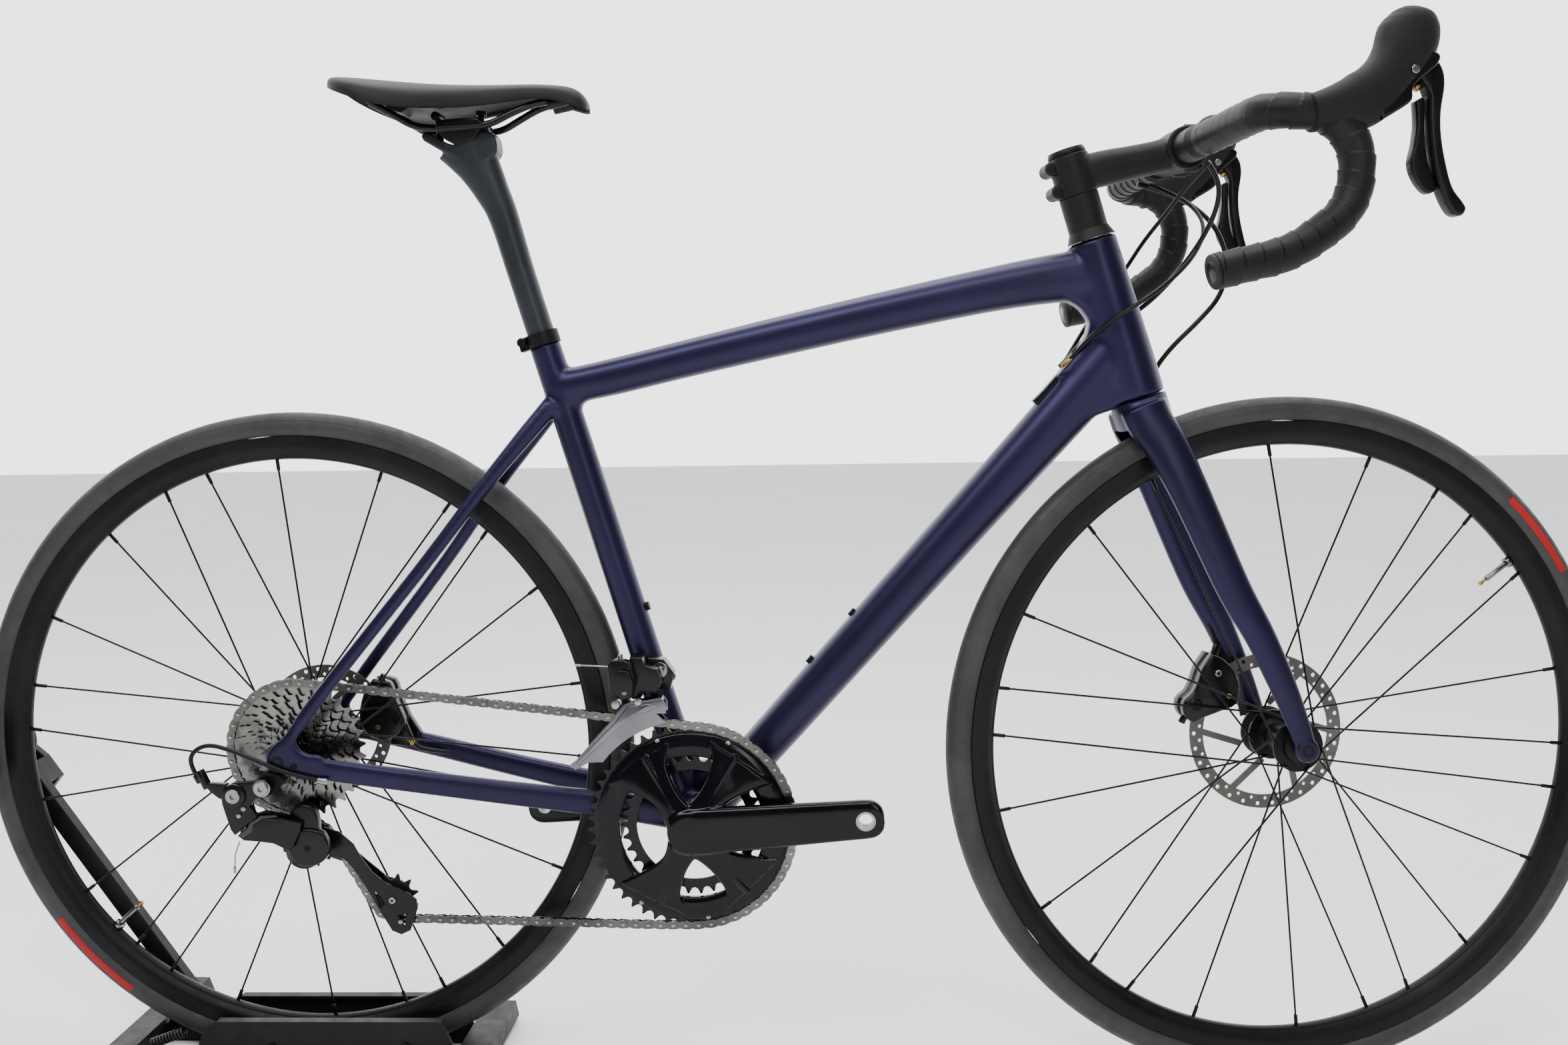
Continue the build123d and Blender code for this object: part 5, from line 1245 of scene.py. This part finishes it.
def build_rear_derailleur():
    """Rear derailleur: knuckle on the hanger, outer link, pulley knuckle, cage and pulleys."""
    knuckle = [
        plate("arm", [(-55, 299), (-56, 308), (-52, 318), (-42, 322), (-26, 323), (-10, 325), (-4, 317),
                      (-10, 307),
                      (-22, 305), (-27, 298), (-20, 289), (-22, 286), (-44, 268.5), (-48, 274), (-52, 288)],
              -85.5, -79.6, GLOSS_BLACK, 1.8),
        rod("barrel", (B_AXIS[0], -88, B_AXIS[1]), (B_AXIS[0], -73.5, B_AXIS[1]), 12.0, GLOSS_BLACK, 48,
            2.0),
        plate("drop", [(-56, 306), (-53, 290), (-48, 274), (-44, 270), (-26, 284), (-30, 306)], -82, -70,
              GLOSS_BLACK,
              2.0),
        plate("horn", [(-73, 321), (-63, 321), (-50, 320), (-50, 304), (-58, 305), (-67, 312)], -84.5, -76.5,
              GLOSS_BLACK, 1.6),
        rod("adjuster", (-78, -80.2, 333), (-70, -80, 315), 4.6, GLOSS_BLACK, 32, 1.0),
        rod("limit_a", (-33, -85.8, 296), (-33, -87.2, 296), 2.4, STEEL, 20, 0.3),
        rod("limit_b", (-38, -85.8, 289), (-38, -87.2, 289), 2.4, STEEL, 20, 0.3),
    ]
    for x, z in (HANGER_BOLT, B_AXIS):
        knuckle.append(screw("bolt", (x, -87.4, z), (0, -1, 0), 7.2, 3.0, STEEL, 3.0, 8.6, STEEL))
    finish(join_objects("derailleur_knuckle", knuckle), "frame", "black_alloy", "rd_knuckle")
    cable = hose("cable_tail", [(-40, -83, 262), (-44, -85, 252), (-45, -86, 242), (-45, -86.5, 236)], 0.75,
                 STEEL)
    finish(cable, "frame", "steel")
    crimp = rod("cable_crimp", (-45, -86.5, 238), (-45.2, -86.6, 231), 1.5, STEEL, 16, 0.4)
    finish(crimp, "frame", "steel")
    angle = math.atan2(LINK_LOW[1] - LINK_TOP[1], LINK_LOW[0] - LINK_TOP[0])
    leaning = Matrix.Translation(mm(*LINK_TOP, 0)) @ Matrix.Rotation(angle, 4, "Z")
    shade = [
        plate("outer_link", [(-8, 269), (2, 277.5), (13, 284.5), (34, 281.5), (52, 275), (50, 266),
                             (42, 250),
                             (38, 247.5), (24, 257), (10, 261), (-3, 264)], -11, -5.2, GLOSS_BLACK, 1.6),
        plate("accent", [(-7, 270), (1, 277), (3, 281), (13, 287), (28, 286), (29, 283.5), (15, 284),
                         (6, 279),
                         (5, 272), (-4, 267)], -11.9, -10.4, ACCENT_GREY, 0.4),
        plate("inner_link", [(-6, 268), (4, 284), (20, 287), (46, 278), (53, 268), (44, 256), (20, 262)],
              4.2, 8.4,
              GLOSS_BLACK, 1.2),
    ]
    for link in shade:
        link.data.transform(leaning)
    shade.append(rod("link_pin", Vector((*LINK_TOP, 262)), Vector((*LINK_TOP, 288)), 3.0, STEEL, 24, 0.4))
    finish(join_objects("derailleur_links", shade), "rd_links", "black_alloy", "rd_links")
    mover = [
        lathe("housing", [(0, -61.5), (8, -61.5), (14.5, -59.5), (18.2, -56.5), (19.2, -51), (19.2, -41),
                          (17, -38.2),
                          (0, -38.2)], (12.5, 0, 243), GLOSS_BLACK, segments=80, angle=30),
        plate("face", [(-4, 262), (6, 266.5), (24, 267.5), (35, 263), (40, 252), (39, 241), (32, 233),
                       (21, 229),
                       (10, 230), (2, 237), (-2, 248)], -62.4, -52, GLOSS_BLACK, 2.6, 3),
        plate("body", [(-8, 242), (-9, 256), (-4, 272), (4, 288), (16, 292), (27, 284), (29, 264),
                       (27, 246)],
              -58.5, -46, GLOSS_BLACK, 3.0, 3),
        screw("knuckle_screw", (19, -62.2, 248), (0, -1, 0), 3.2, 0.9, ANODISED, 1.8),
    ]
    finish(join_objects("derailleur_mover", mover), "rd_mover", "black_alloy", "rd_mover")
    outer = [(8, 257), (14, 260), (27, 261.5), (42, 256.5), (56, 244), (64, 228.5), (74, 214.5), (86, 204),
             (98, 198.5),
             (110, 193), (118.5, 186), (119.5, 177), (111, 153.5), (101.5, 149), (92, 153), (78, 178),
             (66.8, 199),
             (55, 218), (46, 228), (31, 231), (12, 229), (0, 234), (-4, 244)]
    inner = [(0, 250), (10, 255), (24, 252), (44, 240), (64, 222), (84, 205), (100, 200), (108, 191),
             (108, 178),
             (98, 170), (86, 172), (66, 196), (40, 220), (14, 229), (0, 234)]
    cage = [
        plate("outer_plate", outer, -36.8, -34.3, GLOSS_BLACK, 0.7,
              holes=[[(75.5, 194.5), (82, 189), (86, 181), (80.5, 177.5)],
                     [(98, 168.5), (108.5, 171.5), (105, 158)]]),
        plate("inner_plate", inner, -21.8, -19.6, GLOSS_BLACK, 0.6),
        rod("guide_pin", (GUIDE[0], -38.0, GUIDE[1]), (GUIDE[0], -19.4, GUIDE[1]), 2.45, STEEL, 24, 0.3),
        rod("tension_pin", (TENSION[0], -36.9, TENSION[1]), (TENSION[0], -19.4, TENSION[1]), 2.45, STEEL, 24,
            0.3),
        screw("tension_screw", (TENSION[0], -36.8, TENSION[1]), (0, -1, 0), 3.6, 1.3, STEEL, 1.6),
        rod("bushing", (TENSION[0], -36.6, TENSION[1]), (TENSION[0], -37.3, TENSION[1]), 5.2, PLASTIC, 32,
            0.3),
    ]
    cage.append(rod("stop_pin", (101.5, -38.4, 163), (101.5, -34, 163), 2.3, STEEL, 20, 0.4))
    finish(join_objects("derailleur_cage", cage), "rd_cage", "black_alloy", "rd_cage")
    keep("guide_pulley", PLASTIC)
    keep("tension_pulley", PLASTIC)
    for which, (x, z) in (("guide", GUIDE), ("tension", TENSION)):
        ring = lathe(f"{which}_shield", [(2.6, -32.6), (6.8, -32.6), (7.4, -32.1), (2.6, -32.05)], (x, 0, z),
                     STEEL,
                     segments=48)
        finish(ring, f"{which}_pulley", "steel")


def build_front_derailleur():
    """Front derailleur: body on the seat tube, its link screws and the polished cage."""
    body = [
        plate("mast", [(345, 436), (357, 435), (360, 427), (372, 424), (376, 410), (370, 400), (359, 402),
                       (354, 394),
                       (346, 394), (343, 424)], -44, -19, GLOSS_BLACK, 1.4),
        plate("block", [(324, 430), (328, 434.5), (337, 435), (347, 432), (350, 420), (348, 398), (340, 394),
                        (333, 399), (325, 402)], -51.5, -38, GLOSS_BLACK, 2.0),
        plate("lever", [(329, 419), (337, 426), (346, 424), (350, 414), (348, 398), (337, 396), (336, 411)],
              -57, -51,
              GLOSS_BLACK, 1.2),
        rod("stop_a", (335, -44, 433), (336, -42, 439), 2.6, STEEL, 20, 0.6),
        rod("stop_b", (341, -57.6, 403.5), (341, -55.5, 403.5), 2.4, POLISHED, 20, 0.4),
        rod("washer", (372, -27, 420), (372, -30.5, 420), 8.0, POLISHED, 40, 0.6),
        screw("mount", (372, -30.5, 420), (0, -1, 0), 5.0, 5.0, POLISHED, 2.4),
        rod("support_head", (382, -20, 412), (385, -22, 411), 3.6, GLOSS_BLACK, 24, 0.5),
        plate("tab", [(360, 400), (360, 432), (376, 430), (386, 416), (382, 400)], -27, -10, GLOSS_BLACK,
              1.4),
        rod("cable_tail", (326, -45, 427), (296, -45, 428.6), 0.8, STEEL, 12, 0.2),
        rod("cable_cap", (297, -45, 428.5), (291, -45, 428.8), 1.3, STEEL, 12, 0.3),
    ]
    finish(join_objects("front_derailleur", body), "frame", "black_alloy", "fd_body")
    lower = [around_bb(108.6, a) for a in (102, 107, 112, 117, 122, 127, 132, 137, 142)]
    side = [(381, 382), (381, 391), (377, 397), (367, 395), (346, 392.5), (339, 391), (326, 374), (308, 354),
            (290, 334), (284, 329.5), (290, 325.5), (303, 333)] + lower[::-1] + [(372, 382)]
    rib = [(343, 389), (364, 392), (372, 389), (366, 385), (352, 381), (334, 368), (312, 348), (294, 331),
           (291, 333),
           (309, 352), (330, 373)]
    cage = [
        plate("outer", side, -54.8, -53.2, POLISHED, 0.5),
        plate("rib", rib, -56.2, -54.4, POLISHED, 0.8),
        plate("inner", side, -40.6, -39.2, POLISHED, 0.5),
        plate("bridge", [(339, 391), (346, 393), (367, 396), (377, 398), (378, 395), (367, 392.6),
                         (347, 389.8),
                         (341, 388)], -54, -40, POLISHED, 0.4),
        plate("tail", [(284, 330), (291, 335), (293, 332), (286, 327)], -54, -40, POLISHED, 0.3),
        rod("pivot_a", (331, -52, 390), (331, -40, 390), 4.2, STEEL, 32, 0.8),
        rod("pivot_b", (354, -57, 394), (354, -48, 394), 3.6, STEEL, 32, 0.8),
    ]
    finish(join_objects("derailleur_guide", cage), "fd_cage", "steel", "fd_cage")


# ---------------------------------------------------------------- brakes and axles
def build_caliper(name, outline, bridge, foot, ys, foot_ys, bolts, fittings):
    """Disc caliper: two halves beside the rotor, the bridge over its edge, a mounting foot and bolts."""
    outside, inside, near, far = ys
    pieces = [
        plate("half_a", outline, outside, near, GLOSS_BLACK, 3.2, 3),
        plate("half_b", outline, far, inside, GLOSS_BLACK, 3.2, 3),
        plate("bridge", bridge, near - 4, far + 4, PLASTIC, 0.8),
        plate("foot", foot, *foot_ys, GLOSS_BLACK, 1.6),
    ]
    for x, z, radius, mat in bolts:
        pieces.append(screw("bolt", (x, outside + 0.6, z), (0, -1, 0), radius, 2.2, mat, radius * 0.5))
        pieces.append(rod("boss", (x, outside + 4, z), (x, outside - 0.4, z), radius * 1.3, GLOSS_BLACK, 40,
                          0.9))
    for start, end, radius, mat in fittings:
        pieces.append(rod("fitting", start, end, radius, mat, 28, radius * 0.25))
    return join_objects(name, pieces)


def build_brakes():
    """Front and rear calipers with their banjo fittings and hose ends."""
    front_caliper = build_caliper(
        "front_disc_caliper",
        [(929, 423), (940, 418), (951, 407), (958, 389), (954, 371), (939, 364.5), (921, 358.5), (909, 354),
         (900, 362),
         (899.6, 375), (909, 384), (914, 394), (919, 408)],
        [(902, 377), (910, 384), (915, 394), (920, 408), (929, 420), (935, 414), (926, 400), (918, 384),
         (911, 371)],
        [(936, 420), (950, 408), (957, 389), (954, 371), (964, 366), (971, 372), (967, 392), (957, 413),
         (944, 425)],
        (25.0, 56.5, 37.2, 41.9), (44.5, 57.5),
        [(911.5, 371.5, 5.6, ANODISED), (934.7, 403.4, 3.4, STEEL), (946, 380, 2.6, BRASS)],
        [((936, 45, 412), (942, 46, 430), 4.2, GLOSS_BLACK),
         ((905, 36, 362), (900, 36, 352), 3.6, GLOSS_BLACK),
         ((921, 30, 388), (929, 30, 404), 5.0, GLOSS_BLACK)],
    )
    finish(front(front_caliper), "front_end", "black_alloy", "front_caliper")
    rear_caliper = build_caliper(
        "rear_disc_caliper",
        [(55.5, 396), (74, 393), (80, 374), (88.5, 352), (85, 342), (68, 330), (46, 338), (40, 357),
         (45, 380)],
        [(56, 394), (73, 391), (79, 373), (87, 352), (84, 343), (76.5, 341), (76.5, 356), (69, 376),
         (57, 388.5)],
        [(78, 344), (89, 352), (100, 334), (96, 318), (62, 322), (60, 331)],
        (41.5, 71.0, 53.4, 58.0), (60.0, 70.0),
        [(70, 384, 5.2, ANODISED), (80, 352, 4.4, ANODISED), (60, 345, 2.4, BRASS)],
        [((84, 50, 350), (92, 50, 330), 4.0, GLOSS_BLACK), ((92, 50, 331), (95, 50, 324.5), 3.0, BRASS),
         ((62, 46, 391), (68, 46, 401), 3.4, GLOSS_BLACK)],
    )
    finish(rear_caliper, "frame", "black_alloy", "rear_caliper")
    line = hose("rear_brake_end", [(94, 50, 327), (100, 49.5, 321), (112, 50, 318), (126, 52, 316),
                                   (140, 57, 313)], 2.4,
                HOUSING)
    finish(line, "frame", "housing")
    keep("front_thru_axle", ANODISED)


# ---------------------------------------------------------------- stand
def build_stand():
    """Stand: powder-coated base and arm, roller caps, spring coil and bolts."""
    for node in ("stand_base", "stand_walls", "stand_arm"):
        keep(node, POWDER)
    keep("stand_feet", PLASTIC)
    keep("stand_roller", PLASTIC)
    roller = Vector(JOINTS["roller_spin"]["pos_m"]) / MM
    caps = []
    for side in (-1, 1):
        caps.append(lathe("cap", [(6.2, 45.2), (24, 45.2), (27, 44.8), (27, 44.2), (6.2, 44.2)],
                          (roller.x, 0, roller.z), POWDER, (0, side, 0), 64))
    finish(join_objects("roller_caps", caps), "stand_roller", "roller_plastic")
    coil = []
    turns, wire = 11, 1.15
    start, end = Vector((-174, -23.5, 23.8)), Vector((-138, -23.5, 37.3))
    along = (end - start).normalized()
    side = Vector((0, 1, 0))
    other = along.cross(side)
    count = turns * 16
    for i in range(count + 1):
        a = 2 * math.pi * turns * i / count
        coil.append(start + (end - start) * (i / count) + (side * math.cos(a) + other * math.sin(a)) * 4.4)
    spring = hose("spring_coil", coil, wire, SPRING)
    finish(spring, "stand_base", "spring_steel", "arm_spring")
    bolts = []
    for x, z in ((-163, 15), (-124, 17), (-40, 26), (100, 28)):
        for side in (-1, 1):
            bolts.append(screw("bolt", (x, side * 36.1, z), (0, side, 0), 5.2, 2.6, ANODISED, 2.4))
    finish(join_objects("stand_bolts", bolts), "stand_base", "steel")


# ---------------------------------------------------------------- stage
def build_stage():
    """Pale floor and soft studio light."""
    floor_mat = material("floor", (0.80, 0.80, 0.79), 0.0, 0.7)
    vary_roughness(floor_mat, noise(floor_mat, 4.0), 0.62, 0.78)
    floor = mesh_object("floor", [(-9000, -9000, 0), (9000, -9000, 0), (9000, 9000, 0), (-9000, 9000, 0)],
                        [(0, 1, 2, 3)], floor_mat, smooth=False)
    floor.location.z = -0.0005
    world = bpy.data.worlds.new("studio")
    bpy.context.scene.world = world
    world.use_nodes = True
    tree = world.node_tree
    coords = tree.nodes.new("ShaderNodeTexCoord")
    split = tree.nodes.new("ShaderNodeSeparateXYZ")
    backdrop = tree.nodes.new("ShaderNodeMapRange")
    backdrop.interpolation_type = "SMOOTHSTEP"
    backdrop.inputs["From Min"].default_value = -0.15
    backdrop.inputs["From Max"].default_value = 0.45
    backdrop.inputs["To Min"].default_value = 0.16
    backdrop.inputs["To Max"].default_value = 3.2
    tree.links.new(coords.outputs["Generated"], split.inputs["Vector"])
    tree.links.new(split.outputs["Y"], backdrop.inputs["Value"])
    tree.links.new(backdrop.outputs["Result"], tree.nodes["Background"].inputs["Strength"])
    tree.nodes["Background"].inputs["Color"].default_value = (0.97, 0.98, 1.0, 1.0)
    for name, place, aim, size, power in (
        ("key", (-0.5, -2.2, 3.1), (0.45, 0.0, 0.5), (3.0, 0.9), 110),
        ("strip", (1.6, -3.0, 1.5), (0.5, 0.0, 0.5), (0.5, 1.8), 22),
        ("overhead", (0.6, 0.1, 3.2), (0.5, 0.0, 0.5), (3.4, 0.9), 105),
    ):
        light = bpy.data.lights.new(name, "AREA")
        light.shape = "RECTANGLE"
        light.size, light.size_y = size
        light.energy = power
        lamp = linked(name, light)
        lamp.location = place
        lamp.rotation_euler = (Vector(aim) - Vector(place)).to_track_quat("-Z", "Y").to_euler()


def unturned(obj):
    """Rear pieces stay as they are."""
    return obj


build_stage()
build_frame()
build_fork()
build_frame_details()
build_wheel("rear", (0.0, HUB_Z), (-16.0, 35.0), "rear_wheel", 222.6, (214.5, 233.0), unturned)
build_wheel("front", (WHEELBASE, HUB_Z), (-36.0, 22.0), "front_wheel", 36.0, (29.4, 45.7), front)
for side, sign in (("left", 1), ("right", -1)):
    tape = build_tape(side, sign)
    finish(tape, "front_end", "bar_tape", *(["bar_tape"] if sign > 0 else []))
    hood = build_hood(side, sign)
    finish(hood, "front_end", "rubber", *(["hoods"] if sign > 0 else []))
    build_levers(side, sign)
build_stem()
build_hoses()
build_saddle()
build_post()
build_cranks()
build_rear_derailleur()
build_front_derailleur()
build_brakes()
build_stand()
